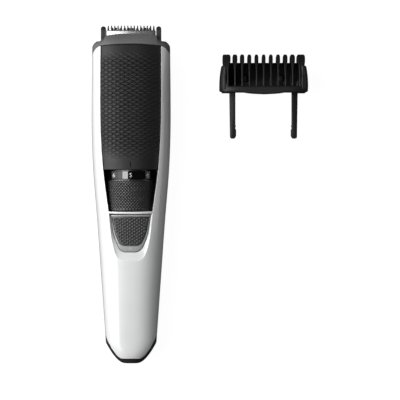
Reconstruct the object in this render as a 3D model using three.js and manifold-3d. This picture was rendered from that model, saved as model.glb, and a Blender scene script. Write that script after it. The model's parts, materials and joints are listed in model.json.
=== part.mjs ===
// A cordless beard trimmer lying on its back, with its guide comb taken off and laid beside it.
//
// Millimetres. X runs across the trimmer, Y along it towards the cutting head, and Z up out of its front face.
// Lengths along the trimmer are measured from its bottom end and called "along"; the trimmer group then shifts
// them so that the part's origin is the middle of the flat strip that the trimmer rests on.

import * as THREE from 'three';
import { mergeVertices } from 'three/addons/utils/BufferGeometryUtils.js';
import Module from 'manifold-3d';

const wasm = await Module();
wasm.setup();

// ---------------------------------------------------------------- driving dimensions

const BODY_LENGTH = 174; // bottom end to the top of the collar's front lip
const SEAM_Z = 15; // height of the flat seam between front and rear shells
const WALL = 1.6;
const GAP = 0.25; // between skin parts
const REST_FROM = 20; // the back is flat between these two stations
const REST_TO = 130;
const REST_DIP = 0.35; // how much of the rounded back is taken off to make the flat strip
const REST_MIDDLE = (REST_FROM + REST_TO) / 2;
const CROWN_AT = 105; // where the front face stands highest
const CROWN_Z = 32.4;
const SECTION_POWER = 2.5; // superellipse power of every body section

const DIAL_Z = 17.1; // axis of the length dial and of the motor
const DIAL = {
  from: 80.6, bandEnd: 96.9, seatEnd: 101.9, end: 119.5, // stations along the axis
  grip: 14.7, seat: 13.3, sleeve: 12.6, bore: 10.8, // radii
};
const SCALE = { from: 97.2, to: 101.6, radius: 15, clear: 0.2 };
const CAM = { lead: 10, middle: 110.5, width: 2.2, depth: 1, reach: 190 }; // lead is the travel in one turn

const BRIDGE = { from: 79.2, to: 80.3 }; // the narrow bar between dial and button
const PANEL_FROM = 102.2;
const BUTTON_TOP = 78.6;
const RECESS_DEPTH = 1.6;

const ARM = { inner: 14.9, outer: 18.2, low: 11.6, high: 16 }; // the comb's arms, as they lie when fitted
const SLOT_CLEARANCE = 0.6;

const HEAD_HALF = 16;
const HEAD_FLOOR = 9.6; // underside and top of the head's block
const HEAD_TOP = 17.1;
const HEAD_HINGE = { along: 166.2, z: 6.7, barrel: 1.5, pin: 0.8, ear: 2.5, reach: 13 };
const HEAD_BACK = { half: 9, from: 167.2, to: 173.2 }; // the head's cover at the back of the trimmer

// ---------------------------------------------------------------- materials

const plastic = (color, roughness) => new THREE.MeshStandardMaterial({ color, roughness, metalness: 0 });
const metal = (color, roughness) => new THREE.MeshStandardMaterial({ color, roughness, metalness: 1 });

const WHITE = plastic(0xf0f0f0, 0.2);
const BLACK = plastic(0x18181a, 0.5);
const GRIP_BLACK = plastic(0x2a2a2b, 0.6);
const GLOSS_BLACK = plastic(0x0a0a0a, 0.1);
const SATIN_GREY = plastic(0x6a6a6c, 0.35);
const CLEAR = plastic(0xe4e8ea, 0.1);
const NATURAL = plastic(0xb9b7ad, 0.5);
const RUBBER = plastic(0x303234, 0.8);
const BOARD_GREEN = plastic(0x1d5a35, 0.4);
const CELL_WRAP = plastic(0x2f6f4a, 0.35);
const STEEL = metal(0xb8babc, 0.3);
const ZINC = metal(0x9a9c9e, 0.4);
const BRASS = metal(0xb08d4a, 0.35);

// ---------------------------------------------------------------- solids

// A three.js geometry as a manifold-3d solid.
function solid(geometry) {
  const bare = geometry.clone();
  bare.deleteAttribute('normal');
  bare.deleteAttribute('uv');
  const merged = mergeVertices(bare, 1e-4);
  const index = merged.index.array;
  const corners = [];
  for (let i = 0; i < index.length; i += 3) {
    const [a, b, c] = index.slice(i, i + 3);
    if (a !== b && b !== c && a !== c) corners.push(a, b, c);
  }
  return new wasm.Manifold(new wasm.Mesh({
    numProp: 3,
    vertProperties: merged.attributes.position.array,
    triVerts: new Uint32Array(corners),
  }));
}

const joined = (...solids) => solids.reduce((a, b) => a.add(b));
const both = (make) => joined(make(1), make(-1)); // one solid from a right-hand and a left-hand copy

function node(name, body, material, parent) {
  const made = body.getMesh();
  const geometry = new THREE.BufferGeometry();
  geometry.setAttribute('position', new THREE.BufferAttribute(made.vertProperties, 3));
  geometry.setIndex(new THREE.BufferAttribute(made.triVerts, 1));
  geometry.computeVertexNormals();
  const mesh = new THREE.Mesh(geometry, material);
  mesh.name = name;
  parent.add(mesh);
  return mesh;
}

function box([x0, x1], [y0, y1], [z0, z1]) {
  const geometry = new THREE.BoxGeometry(x1 - x0, y1 - y0, z1 - z0);
  return solid(geometry.translate((x0 + x1) / 2, (y0 + y1) / 2, (z0 + z1) / 2));
}

// A box given on the right-hand side, mirrored to the left when side is -1.
const sideBox = (side, [x0, x1], y, z) => box(side > 0 ? [x0, x1] : [-x1, -x0], y, z);

const rodY = (radius, [y0, y1], segments = 24) =>
  solid(new THREE.CylinderGeometry(radius, radius, y1 - y0, segments).translate(0, (y0 + y1) / 2, 0));
const rodZ = (radius, [z0, z1], x, y, segments = 16) =>
  solid(new THREE.CylinderGeometry(radius, radius, z1 - z0, segments).rotateX(Math.PI / 2)
    .translate(x, y, (z0 + z1) / 2));
const rodX = (radius, [x0, x1], y, z, segments = 16) =>
  solid(new THREE.CylinderGeometry(radius, radius, x1 - x0, segments).rotateZ(-Math.PI / 2)
    .translate((x0 + x1) / 2, y, z));
const turnedY = (profile, segments = 40) =>
  solid(new THREE.LatheGeometry(profile.map(([r, y]) => new THREE.Vector2(r, y)), segments));

const shapeOf = (points) => new THREE.Shape(points.map(([x, y]) => new THREE.Vector2(x, y)));
const extruded = (points, depth) => new THREE.ExtrudeGeometry(shapeOf(points), { depth, bevelEnabled: false });
const prismZ = (points, [z0, z1]) => solid(extruded(points, z1 - z0).translate(0, 0, z0));

// A plate whose outline is drawn in the Y-Z plane, between two values of X.
function prismX(points, [x0, x1]) {
  const turn = new THREE.Matrix4().makeBasis(
    new THREE.Vector3(0, 1, 0), new THREE.Vector3(0, 0, 1), new THREE.Vector3(1, 0, 0));
  return solid(extruded(points, x1 - x0).applyMatrix4(turn).translate(x0, 0, 0));
}

// A closed solid through rings of points, each ring with the same number of points.
function loft(rings) {
  const count = rings[0].length;
  const points = rings.flat();
  const middle = (ring) => ring.reduce((m, p) => m.map((v, i) => v + p[i] / ring.length), [0, 0, 0]);
  points.push(middle(rings[0]), middle(rings.at(-1)));
  const index = [];
  rings.slice(1).forEach((_, r) => {
    for (let i = 0; i < count; i++) {
      const a = r * count + i;
      const b = r * count + (i + 1) % count;
      index.push(a, b, b + count, a, b + count, a + count);
    }
  });
  const last = (rings.length - 1) * count;
  for (let i = 0; i < count; i++) {
    const next = (i + 1) % count;
    index.push(points.length - 2, next, i, points.length - 1, last + i, last + next);
  }
  const geometry = new THREE.BufferGeometry();
  geometry.setAttribute('position', new THREE.BufferAttribute(new Float32Array(points.flat()), 3));
  geometry.setIndex(index);
  const made = solid(geometry);
  if (made.volume() > 0) return made;
  geometry.setIndex(index.map((_, i) => index[i - (i % 3) + 2 - (i % 3)]));
  return solid(geometry);
}

// ---------------------------------------------------------------- the body's outer form

// Half the body's width: a slow curve, with the bottom corners and the shoulders taken off.
const widthCurve = new THREE.SplineCurve([
  [0, 12.7], [40, 15.5], [74, 17.9], [100, 20.0], [120, 20.85], [140, 20.95], [175, 20.6],
].map(([y, x]) => new THREE.Vector2(y, x)));
const widthPoints = widthCurve.getPoints(240);

function halfWidth(along) {
  const y = THREE.MathUtils.clamp(along, 0, BODY_LENGTH);
  const i = Math.max(1, widthPoints.findIndex((p) => p.x >= y));
  const [p, q] = [widthPoints[i - 1], widthPoints[i]];
  const side = p.y + (q.y - p.y) * (y - p.x) / (q.x - p.x);
  const corner = 4 + 2.27 * y ** 0.6;
  const shoulder = side - 0.2 * Math.max(0, y - 167) ** 2;
  return Math.min(corner, shoulder);
}

// How far front and back are drawn together to round the bottom end.
const endTuck = (along) => 2.2 * Math.max(0, 1 - along / 7) ** 2;

// The front face, which rolls over towards the cutting head at its top.
function frontZ(along) {
  const fall = along < CROWN_AT ? 0.000687 : 0.0013;
  const roll = 0.09 * Math.max(0, along - 167.5) ** 2;
  return CROWN_Z - fall * (along - CROWN_AT) ** 2 - roll - endTuck(along);
}

// The back: flat in the middle, rising at both ends.
function backZ(along) {
  const rise = 0.0085 * Math.max(0, REST_FROM - along) ** 2 + 0.0036 * Math.max(0, along - REST_TO) ** 2;
  return rise - REST_DIP + endTuck(along);
}

// One section of the body, drawn in by inset all round.
const SECTION_POINTS = 28;
function section(along, inset, fullHalf = halfWidth(along)) {
  const y = THREE.MathUtils.clamp(along, 0, BODY_LENGTH);
  const half = fullHalf - inset;
  const up = frontZ(y) - SEAM_Z - inset;
  const down = SEAM_Z - backZ(y) - inset;
  return Array.from({ length: SECTION_POINTS }, (_, i) => {
    const angle = 2 * Math.PI * i / SECTION_POINTS;
    const power = (v) => Math.sign(v) * Math.abs(v) ** (2 / SECTION_POWER);
    const height = Math.sin(angle) > 0 ? up : down;
    return [half * power(Math.cos(angle)), along, SEAM_Z + height * power(Math.sin(angle))];
  });
}

// Height of the front face over a point of the plan, drawn in by inset.
function surfaceZ(x, along, inset = 0) {
  const share = Math.min(1, Math.abs(x) / (halfWidth(along) - inset));
  return SEAM_Z + (frontZ(along) - SEAM_Z - inset) * (1 - share ** SECTION_POWER) ** (1 / SECTION_POWER);
}

// Limits that lie outside the whole trimmer.
const ABOVE = 45;
const UNDER = -5;
const PAST_END = -10;
const PAST_HEAD = 190;
const ALL_X = [-40, 40];
const ALL_Y = [PAST_END, PAST_HEAD];
const ALL_Z = [UNDER, ABOVE];

const STATIONS = [
  0, 1.2, 3.5, 7, 11, 20, 36, 58, 80, 105, 130, 145, 157, 164, 167, 168.5, 169.5, 171, 172.5, BODY_LENGTH];
const form = (inset) => loft(STATIONS.map((y) => section(y, inset)));
const OUTSIDE = form(0).intersect(box(ALL_X, ALL_Y, [0, ABOVE]));
const INSIDE = loft([-2, ...STATIONS, BODY_LENGTH + 2].map((y) => section(y, WALL)));
const SKIN = OUTSIDE.subtract(INSIDE);

const across = (count, reach) => Array.from({ length: count + 1 }, (_, i) => -reach + 2 * reach * i / count);

// The joint lines of the end cap and of the collar, as seen from the front.
const capLine = (x) => 2.3 + 0.22 * Math.max(0, Math.abs(x) - 4.5) ** 1.82;
const collarLine = (x) => 168.8 - 0.004 * x * x - 0.13 * Math.max(0, Math.abs(x) - 16) ** 2.2;
const belowLine = (line, shift) =>
  prismZ([[-24, PAST_END], [24, PAST_END],
    ...across(16, 24).reverse().map((x) => [x, line(x) + shift])], ALL_Z);
const ABOVE_CAP = belowLine(capLine, GAP);
const BELOW_COLLAR = belowLine(collarLine, -GAP);

// Right-hand half outlines of the window, the button and the button's grip, from the bottom middle upwards.
const spline = (knots, count) =>
  new THREE.SplineCurve(knots.map(([x, y]) => new THREE.Vector2(x, y))).getPoints(count)
    .map((p) => [p.x, p.y]);
const WINDOW_EDGE = spline([
  [0, 54.6], [4, 54.7], [6.9, 56.6], [8.9, 61.8], [10.2, 68.4], [11.5, 80], [12.9, 90], [14.3, 101],
  [15.4, 115], [15.95, 130], [16, 150], [15.9, 176]], 26);
const BUTTON_EDGE = spline([
  [0, 59], [3, 59.05], [5.2, 60.1], [6.9, 62.8], [8.9, 68.4], [10.35, 78]], 12);
const PAD_EDGE = spline([
  [0, 62.2], [3.5, 62.25], [5.3, 63.4], [6.4, 65.6], [7.8, 69.4], [9.4, 77]], 10);

// A half outline closed by its mirror image and a straight top, moved outwards by grow.
function plan(edge, top, grow = 0) {
  const kept = edge.filter(([, y]) => y < top);
  const end = kept.at(-1);
  const next = edge[kept.length] ?? end;
  const rise = next[1] - end[1];
  const topX = rise > 0 ? end[0] + (next[0] - end[0]) * (top - end[1]) / rise : end[0];
  const line = [...kept, [topX, top]];
  const half = line.map(([x, y], i) => {
    if (i === 0) return [0, y - grow];
    if (i === line.length - 1) return [x + grow, y + grow];
    const [a, b] = [line[i - 1], line[i + 1]];
    const length = Math.hypot(b[0] - a[0], b[1] - a[1]);
    return [x + grow * (b[1] - a[1]) / length, y - grow * (b[0] - a[0]) / length];
  });
  return [...half, ...half.slice(1).reverse().map(([x, y]) => [-x, y])];
}

// ---------------------------------------------------------------- groups

const trimmer = new THREE.Group();
trimmer.position.y = -REST_MIDDLE;
const onAxis = new THREE.Group(); // what turns about the dial's axis
onAxis.position.z = DIAL_Z;
trimmer.add(onAxis);

// ---------------------------------------------------------------- casing

const FRONT_HALF = box(ALL_X, ALL_Y, [SEAM_Z + GAP / 2, ABOVE]);
const REAR_HALF = box(ALL_X, ALL_Y, [UNDER, SEAM_Z - GAP / 2]);
const WINDOW_FLOOR = SEAM_Z + 1; // cuts for the window start here, above the seam

// The white front shell: a window for grip panel and dial, and a sunk seat with sloping sides for the button.
const SEAT = { wall: 4, margin: 2, floor: 20, buttonGap: 0.4, rise: 0.05, points: 36 };
function frontShell() {
  const boss = OUTSIDE.subtract(form(SEAT.wall))
    .intersect(prismZ(plan(WINDOW_EDGE, BRIDGE.to, SEAT.margin), [SEAT.floor, ABOVE]))
    .intersect(box(ALL_X, [0, BRIDGE.to], ALL_Z));
  const opening = plan(WINDOW_EDGE, BODY_LENGTH + 1).map(([x, y]) => [x, Math.max(y, BRIDGE.to)]);
  const rim = plan(WINDOW_EDGE, BRIDGE.from);
  const hole = plan(BUTTON_EDGE, BUTTON_TOP, SEAT.buttonGap);
  const centre = (rim[0][1] + BRIDGE.from) / 2;
  const angles = Array.from({ length: SEAT.points }, (_, i) => 2 * Math.PI * (i / SEAT.points - 0.25));
  const ring = (outline, height) => angles.map((angle) => {
    const [x, y] = outlinePoint(outline, angle, centre);
    return [x, y, height(x, y)];
  });
  const seat = loft([
    ring(hole, (x, y) => surfaceZ(x, y) - RECESS_DEPTH),
    ring(rim, (x, y) => surfaceZ(x, y) + SEAT.rise),
    ring(rim, () => ABOVE),
  ]);
  return SKIN.add(boss).intersect(FRONT_HALF).intersect(BELOW_COLLAR).subtract(ABOVE_CAP)
    .subtract(joined(
      prismZ(opening, [WINDOW_FLOOR, ABOVE]), seat, prismZ(hole, [SEAT.floor - 2, ABOVE]), both(armSlot)));
}

// Where a ray from [0, centre] at this angle leaves a closed outline.
function outlinePoint(points, angle, centre) {
  const [dx, dy] = [Math.cos(angle), Math.sin(angle)];
  for (let i = 0; i < points.length; i++) {
    const [ax, ay] = points[i];
    const [bx, by] = points[(i + 1) % points.length];
    const [ex, ey] = [bx - ax, by - ay];
    const turn = dx * ey - dy * ex;
    if (Math.abs(turn) < 1e-9) continue;
    const far = (ax * ey - (ay - centre) * ex) / turn;
    const share = (ax * dy - (ay - centre) * dx) / turn;
    if (far > 0 && share >= -1e-9 && share <= 1 + 1e-9) return [far * dx, centre + far * dy];
  }
  throw new Error('the ray misses the outline');
}

const PILLARS = [[10.4, 26], [11.4, 62], [11.4, 126], [11.4, 146]]; // screw pillars, on both sides
const PILLAR = { radius: 2.1, bore: 1.1, foot: 0.6, boreFloor: 4.9, top: 7 };
const HEAD_WAY = { half: HEAD_HINGE.reach + 0.3, from: HEAD_HINGE.along - 2.8, top: 12 };
const onPillars = (pillars, make) =>
  joined(...pillars.flatMap(([x, y]) => [1, -1].map((side) => make(side * x, y))));

function rearShell() {
  const shell = SKIN.intersect(REAR_HALF).intersect(BELOW_COLLAR).subtract(ABOVE_CAP);
  const pillars = onPillars(PILLARS, (x, y) => rodZ(PILLAR.radius, [PILLAR.foot, PILLAR.top], x, y, 12));
  const bores = onPillars(PILLARS, (x, y) => rodZ(PILLAR.bore, [PILLAR.boreFloor, PILLAR.top + 2], x, y, 8));
  const headWay = box([-HEAD_WAY.half, HEAD_WAY.half], [HEAD_WAY.from, PAST_HEAD], [UNDER, HEAD_WAY.top]);
  return shell.add(pillars.intersect(OUTSIDE)).subtract(joined(headWay, bores, both(armSlot)));
}

// The dark cap that closes the bottom end, with the way in to the charging socket.
const SOCKET = { z: 13, half: 3, rise: 2.5, wall: 1.4, from: 5.3, floor: 11, to: 13.8 };
function endCap() {
  const hollow = form(WALL + 0.2).intersect(box(ALL_X, [3.6, 30], ALL_Z));
  const mouth = box([-SOCKET.half, SOCKET.half], [-1, SOCKET.from - 0.3],
    [SOCKET.z - SOCKET.rise, SOCKET.z + SOCKET.rise]);
  return OUTSIDE.intersect(belowLine(capLine, 0)).subtract(hollow).subtract(mouth);
}

const MARK = { half: 0.25, from: 103.6, to: 106.2, floor: 32.1 }; // the line that numerals are read against
function gripPanel() {
  const outline = plan(WINDOW_EDGE.map(([x, y]) => [x - GAP, y]), BODY_LENGTH + 1)
    .map(([x, y]) => [x, Math.max(y, PANEL_FROM)]);
  const mark = box([-MARK.half, MARK.half], [MARK.from, MARK.to], [MARK.floor, ABOVE]);
  return SKIN.intersect(prismZ(outline, [WINDOW_FLOOR, ABOVE])).intersect(BELOW_COLLAR).subtract(mark);
}

// ---------------------------------------------------------------- collar and cutting head

const DECK = 170.3; // how far the collar reaches round the head
const LIP = { z: 20.8, half: 13.4, from: 166 }; // the part that reaches further, in front of the head
const WELL = { half: HEAD_BACK.half + 5.1, from: 164.5, floor: HEAD_FLOOR - 0.4 };
const lipLine = (x) => BODY_LENGTH + 0.3 - 0.006 * x * x;

function armSlot(side) {
  return sideBox(side, [ARM.inner - 0.7, ARM.outer + SLOT_CLEARANCE], [150, 180],
    [ARM.low - 0.3, ARM.high + 0.3]);
}

// The collar's lip keeps the width that the body has below its shoulders.
function collarLip() {
  const stations = [LIP.from, 168, 169.5, 171, 172.5, 173.5, lipLine(0)];
  const plate = loft(stations.map((y) => section(y, 0, halfWidth(LIP.from))));
  const outline = [[-LIP.half, LIP.from], [LIP.half, LIP.from],
    ...across(10, LIP.half).reverse().map((x) => [x, lipLine(x)])];
  return plate.intersect(prismZ(outline, [LIP.z, ABOVE]));
}

// The collar closes the top of the casing and carries the head: a floor with the comb's slots, a well for the
// head, a lip in front of it, and two ears at the back for the head's hinge.
function collar() {
  const lipRoom = box([-LIP.half, LIP.half], [LIP.from, PAST_HEAD], [LIP.z, ABOVE]);
  const ring = OUTSIDE.subtract(lipRoom).add(collarLip()).subtract(belowLine(collarLine, 0));
  const spigot = form(WALL + GAP).intersect(box(ALL_X, [158, 168], ALL_Z));
  const below = form(WALL + GAP + 1.3).intersect(box(ALL_X, [150, 162], ALL_Z));
  const well = box([-WELL.half, WELL.half], [WELL.from, 180], [WELL.floor, LIP.z]);
  const cheeks = box([-HEAD_HALF - 0.3, HEAD_HALF + 0.3], [168.4, 180], [14.8, LIP.z]);
  const deck = box(ALL_X, [DECK, PAST_HEAD], [UNDER, LIP.z]);
  const backHalf = HEAD_BACK.half + 0.3;
  const backWay = box([-backHalf, backHalf], [HEAD_HINGE.along - 2.2, PAST_HEAD], [UNDER, 10]);
  const backRoom = box([-WELL.half, WELL.half], [HEAD_HINGE.along, PAST_HEAD], [UNDER, 10]);
  const ear = (side) => sideRodX(side, HEAD_HINGE.ear, [backHalf, HEAD_HINGE.reach]);
  const pivot = (side) => sideRodX(side, HEAD_HINGE.pin + 0.3, [HEAD_BACK.half - 1, HEAD_PIN_END + 0.4]);
  const driveWay = rodY(3.6, [160, 166], 20).translate(0, 0, SEAM_Z);
  return joined(ring, spigot).subtract(joined(below, well, cheeks, deck, backWay, backRoom, driveWay))
    .add(both(ear).intersect(OUTSIDE)).subtract(both(pivot)).subtract(both(armSlot));
}

// A round bar on the hinge line, on one side of the head.
const HEAD_PIN_END = 11.2;
const sideRodX = (side, radius, [x0, x1]) =>
  rodX(radius, side > 0 ? [x0, x1] : [-x1, -x0], HEAD_HINGE.along, HEAD_HINGE.z, 14);

// The head: a block that carries the blades, a cover behind it, a hinge barrel, and a horn at each end.
const HORN = { from: 168.8, inner: 13.3, low: 15.5, high: 20.3, tip: 178.3 };
function headFrame() {
  const width = [-HEAD_BACK.half, HEAD_BACK.half];
  const block = box([-13.8, 13.8], [165, HEAD_BACK.to], [HEAD_FLOOR, HEAD_TOP]);
  const backCover = OUTSIDE.intersect(box(width, [HEAD_BACK.from, HEAD_BACK.to], [UNDER, HEAD_FLOOR + 0.1]));
  const barrel = rodX(HEAD_HINGE.barrel, width, HEAD_HINGE.along, HEAD_HINGE.z);
  const web = box(width, [HEAD_HINGE.along - 0.2, 168], [HEAD_HINGE.z + 0.5, HEAD_FLOOR + 0.1]);
  const pins = both((side) => sideRodX(side, HEAD_HINGE.pin, [HEAD_BACK.half - 0.5, HEAD_PIN_END]));
  const cavity = box([-6.8, 6.8], [160, 180], [12.4, 18]);
  const outline = [[HORN.from, HORN.low], [176.4, HORN.low], [177.9, 16.6], [HORN.tip, 18], [178.1, 19.4],
    [177.2, HORN.high], [HORN.from, HORN.high]];
  const horn = (side) => prismX(outline, side > 0 ? [HORN.inner, HEAD_HALF] : [-HEAD_HALF, -HORN.inner]);
  return joined(block, backCover, barrel, web, both(horn), pins).subtract(cavity);
}

// A toothed plate: a straight back, and count pointed teeth of the given pitch.
function toothedPlate({ half, back, root, tip, count, pitch, base, point, z }) {
  const teeth = Array.from({ length: count }, (_, i) => {
    const x = (i - (count - 1) / 2) * pitch;
    return [[x - base / 2, root], [x - point / 2, tip], [x + point / 2, tip], [x + base / 2, root]];
  }).flat();
  return prismZ([[half, root], [half, back], [-half, back], [-half, root], ...teeth], z);
}

const guardBlade = () => toothedPlate({
  half: 13.05, back: 167.5, root: 175.9, tip: 178.7, count: 15, pitch: 1.72, base: 1.1, point: 0.45,
  z: [18.6, 19.6] });
const cutterBlade = () => toothedPlate({
  half: 11.4, back: 169.8, root: 174.9, tip: 177.6, count: 10, pitch: 2.2, base: 1.3, point: 0.6,
  z: [17.35, 18.35] });

// The block under the cutter, with a slot that the drive's tip pushes from side to side.
const CARRIER = { half: 4.1, from: 167.4, to: 171.6, low: 13.4, slot: 1.25, wall: 0.5 };
const cutterCarrier = () =>
  box([-CARRIER.half, CARRIER.half], [CARRIER.from, CARRIER.to], [CARRIER.low, HEAD_TOP])
    .subtract(box([-CARRIER.slot, CARRIER.slot], [166, CARRIER.to - 0.6], [13, HEAD_TOP - CARRIER.wall]));

// A bent wire that presses the cutter against the guard.
function cutterSpring() {
  const half = [[0, 173.4, 16.6], [4.9, 173, 14.6], [5.9, 171.5, 12.95], [5.6, 165.8, 12.95]];
  const mirrored = half.slice(1).reverse().map(([x, y, z]) => [-x, y, z]);
  const path = new THREE.CatmullRomCurve3([...mirrored, ...half].map((p) => new THREE.Vector3(...p)));
  const wire = new THREE.Shape().absarc(0, 0, 0.3, 0, 2 * Math.PI);
  return solid(new THREE.ExtrudeGeometry(wire, { steps: 24, curveSegments: 4, extrudePath: path }));
}

// ---------------------------------------------------------------- button

// The part of a plan outline that lies between two depths under the front face.
const layer = (outline, outer, inner) =>
  form(outer).subtract(form(inner)).intersect(prismZ(outline, [20, ABOVE]));

const PAD_TOP = 77.6;
const BUTTON = { under: 0.9, thick: 1.9, wall: 1.2, rim: [22.8, 23.8], rimReach: 1, pocket: 1.8 };
const SWITCH = { along: 69, post: 1.5, postFoot: 26.4, plunger: 1.7, plungerFoot: 23.4 };
const LIGHT = { along: 60.75, radius: 0.9, foot: 22.7, under: 0.85 };
function buttonFrame() {
  const cap = layer(plan(BUTTON_EDGE, BUTTON_TOP), BUTTON.under, BUTTON.under + BUTTON.thick);
  const pocket = prismZ(plan(PAD_EDGE, PAD_TOP, 0.2), [20, ABOVE]).subtract(form(BUTTON.pocket));
  const room = prismZ(plan(BUTTON_EDGE, BUTTON_TOP - BUTTON.wall, -BUTTON.wall), [BUTTON.rim[0] - 1, 40]);
  const skirt = prismZ(plan(BUTTON_EDGE, BUTTON_TOP), [BUTTON.rim[0], 29]).intersect(form(1.4)).subtract(room);
  const rim = prismZ(plan(BUTTON_EDGE, BUTTON_TOP, BUTTON.rimReach), BUTTON.rim).subtract(room);
  const post = rodZ(SWITCH.post, [SWITCH.postFoot, 29.5], 0, SWITCH.along);
  const lightWay = rodZ(LIGHT.radius + 0.2, [20, ABOVE], 0, LIGHT.along, 12);
  return joined(cap, skirt, rim, post).subtract(pocket).subtract(lightWay);
}

const buttonPad = () => layer(plan(PAD_EDGE, PAD_TOP), 0.75, 1.6);
const lightPipe = () =>
  rodZ(LIGHT.radius, [LIGHT.foot, ABOVE], 0, LIGHT.along, 12).intersect(form(LIGHT.under));
const switchPlunger = () => rodZ(SWITCH.plunger, [SWITCH.plungerFoot, SWITCH.postFoot - 0.2], 0, SWITCH.along);

// ---------------------------------------------------------------- length dial and comb carriage

// The helical groove, as a solid that stands past the sleeve. Positions round the axis are measured from +Z
// towards +X, and the groove is at the cam's middle on the underside, where the follower is.
function camGroove() {
  const steps = 36;
  const reach = THREE.MathUtils.degToRad(CAM.reach);
  return loft(Array.from({ length: steps + 1 }, (_, i) => {
    const turn = -reach + 2 * reach * i / steps;
    const angle = Math.PI + turn;
    const along = CAM.middle - CAM.lead * turn / (2 * Math.PI);
    const corner = (r, w) => [r * Math.sin(angle), along + w, r * Math.cos(angle)];
    const [low, high] = [DIAL.sleeve - CAM.depth, DIAL.sleeve + 1];
    const w = CAM.width / 2;
    return [corner(low, -w), corner(high, -w), corner(high, w), corner(low, w)];
  }));
}

const DETENT = { count: 20, notch: 0.5, at: 12.2, bump: 0.32 };
function lengthDial() {
  const body = turnedY([
    [DIAL.bore, DIAL.from], [DIAL.grip - 0.5, DIAL.from], [DIAL.grip, DIAL.from + 0.5],
    [DIAL.grip, DIAL.bandEnd], [DIAL.seat, DIAL.bandEnd], [DIAL.seat, DIAL.seatEnd],
    [DIAL.sleeve, DIAL.seatEnd], [DIAL.sleeve, DIAL.end], [DIAL.bore, DIAL.end], [DIAL.bore, DIAL.from]], 36);
  const notches = Array.from({ length: DETENT.count }, (_, i) => {
    const angle = 2 * Math.PI * (i + 0.5) / DETENT.count;
    return rodY(DETENT.notch, [DIAL.from - 1, DIAL.from + 0.6], 6)
      .translate(DETENT.at * Math.sin(angle), 0, DETENT.at * Math.cos(angle));
  });
  return body.subtract(camGroove()).subtract(joined(...notches));
}

const scaleRing = () => turnedY([
  [DIAL.seat + SCALE.clear, SCALE.from], [SCALE.radius, SCALE.from], [SCALE.radius, SCALE.to],
  [DIAL.seat + SCALE.clear, SCALE.to], [DIAL.seat + SCALE.clear, SCALE.from]], 40);

// A hoop that runs over the dial's sleeve, with two rails that reach up to catch the comb's arms.
const YOKE = [108.5, 112.5];
const HOOP = { outer: 15, inner: 13.1 };
const RAIL = { inner: 15.2, outer: 17.3, to: 141, catchFrom: 138.5, catchTo: 140.2 };
const FOLLOWER = { radius: 0.9, foot: 2.5 };
function combCarriage() {
  const hoop = rodY(HOOP.outer, YOKE, 40).subtract(rodY(HOOP.inner, [100, 120], 40)).translate(0, 0, DIAL_Z)
    .intersect(box(ALL_X, [100, 120], [UNDER, ARM.high]));
  const rail = (side) => joined(
    sideBox(side, [RAIL.inner, RAIL.outer], [YOKE[0], RAIL.to], [ARM.low, ARM.high]),
    sideBox(side, [HOOP.inner + 0.3, RAIL.inner + 0.3], YOKE, [ARM.low, ARM.high]),
    sideBox(side, [RAIL.inner - 0.9, RAIL.inner + 0.3], [RAIL.catchFrom, RAIL.catchTo],
      [ARM.low + 1, ARM.high - 1.2]),
  );
  const pinHole = rodZ(FOLLOWER.radius + 0.2, [0, 6], 0, CAM.middle, 12);
  return joined(hoop, both(rail)).subtract(pinHole);
}

const followerPin = () =>
  rodZ(FOLLOWER.radius, [FOLLOWER.foot, DIAL_Z - DIAL.sleeve + CAM.depth - 0.3], 0, CAM.middle, 12);

function detentSpring() {
  const face = DIAL.from - 0.3;
  const leaf = box([-4, 4], [face - 0.35, face - 0.05], [3.9, 5.9]);
  return leaf.add(rodZ(DETENT.bump, [4.2, 5.6], 0, face, 8));
}

// ---------------------------------------------------------------- chassis, battery and electronics

const EAR = [7.3, 8.8]; // the screwed ears of chassis and motor mount rest just above the pillars
const SCREW = { head: 1.7, shank: 0.8, top: 10.2, under: 9.1, end: 5.2, slot: 0.25 };
const CELL = { radius: 7.1, from: 16.2, to: 66, z: 11 };
const TRAY = { half: 9, inner: 7.6, from: 14.5, to: 78, floor: 2.2, inside: 3.6, top: 19 };
const TUBE = { outer: 10.4, inner: 9, from: 77, to: 120, flange: 12.4, flangeEnd: 79.7 };

// Ways for the pillars below the ears, and holes with counterbores for the screws.
const earCuts = (pillars) => joined(
  onPillars(pillars, (x, y) => rodZ(PILLAR.radius + 0.3, [0, EAR[0]], x, y, 12)),
  onPillars(pillars, (x, y) => rodZ(PILLAR.bore, [0, 12], x, y, 12)),
  onPillars(pillars, (x, y) => rodZ(SCREW.head + 0.3, [EAR[1], 12], x, y, 12)));

// The lower chassis: a tray for the cell, and the tube that the dial turns on.
function lowerChassis() {
  const inner = [-TRAY.inner, TRAY.inner];
  const tray = box([-TRAY.half, TRAY.half], [TRAY.from, TRAY.to], [TRAY.floor, TRAY.top])
    .subtract(box(inner, [TRAY.from + 0.5, 70], [TRAY.inside, 20]))
    .subtract(box(inner, [71.5, TRAY.to - 1], [TRAY.inside, 20]));
  const tube = rodY(TUBE.flange, [TUBE.from, TUBE.flangeEnd], 32)
    .add(rodY(TUBE.outer, [TUBE.from, TUBE.to], 32)).translate(0, 0, DIAL_Z);
  const bore = rodY(TUBE.inner, [TUBE.from - 1, TUBE.to + 1], 32).translate(0, 0, DIAL_Z);
  const underButton = box(ALL_X, [70, BRIDGE.to + 0.3], [21.6, 40]);
  const ears = PILLARS.slice(0, 2);
  const ear = (side) => joined(
    ...ears.map(([x, y]) => sideBox(side, [TRAY.half - 0.2, x + 2.1], [y - 2.5, y + 2.5], EAR)));
  return joined(tray, tube, both(ear)).intersect(form(WALL + 0.4))
    .subtract(joined(bore, underButton, earCuts(ears)));
}

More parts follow.
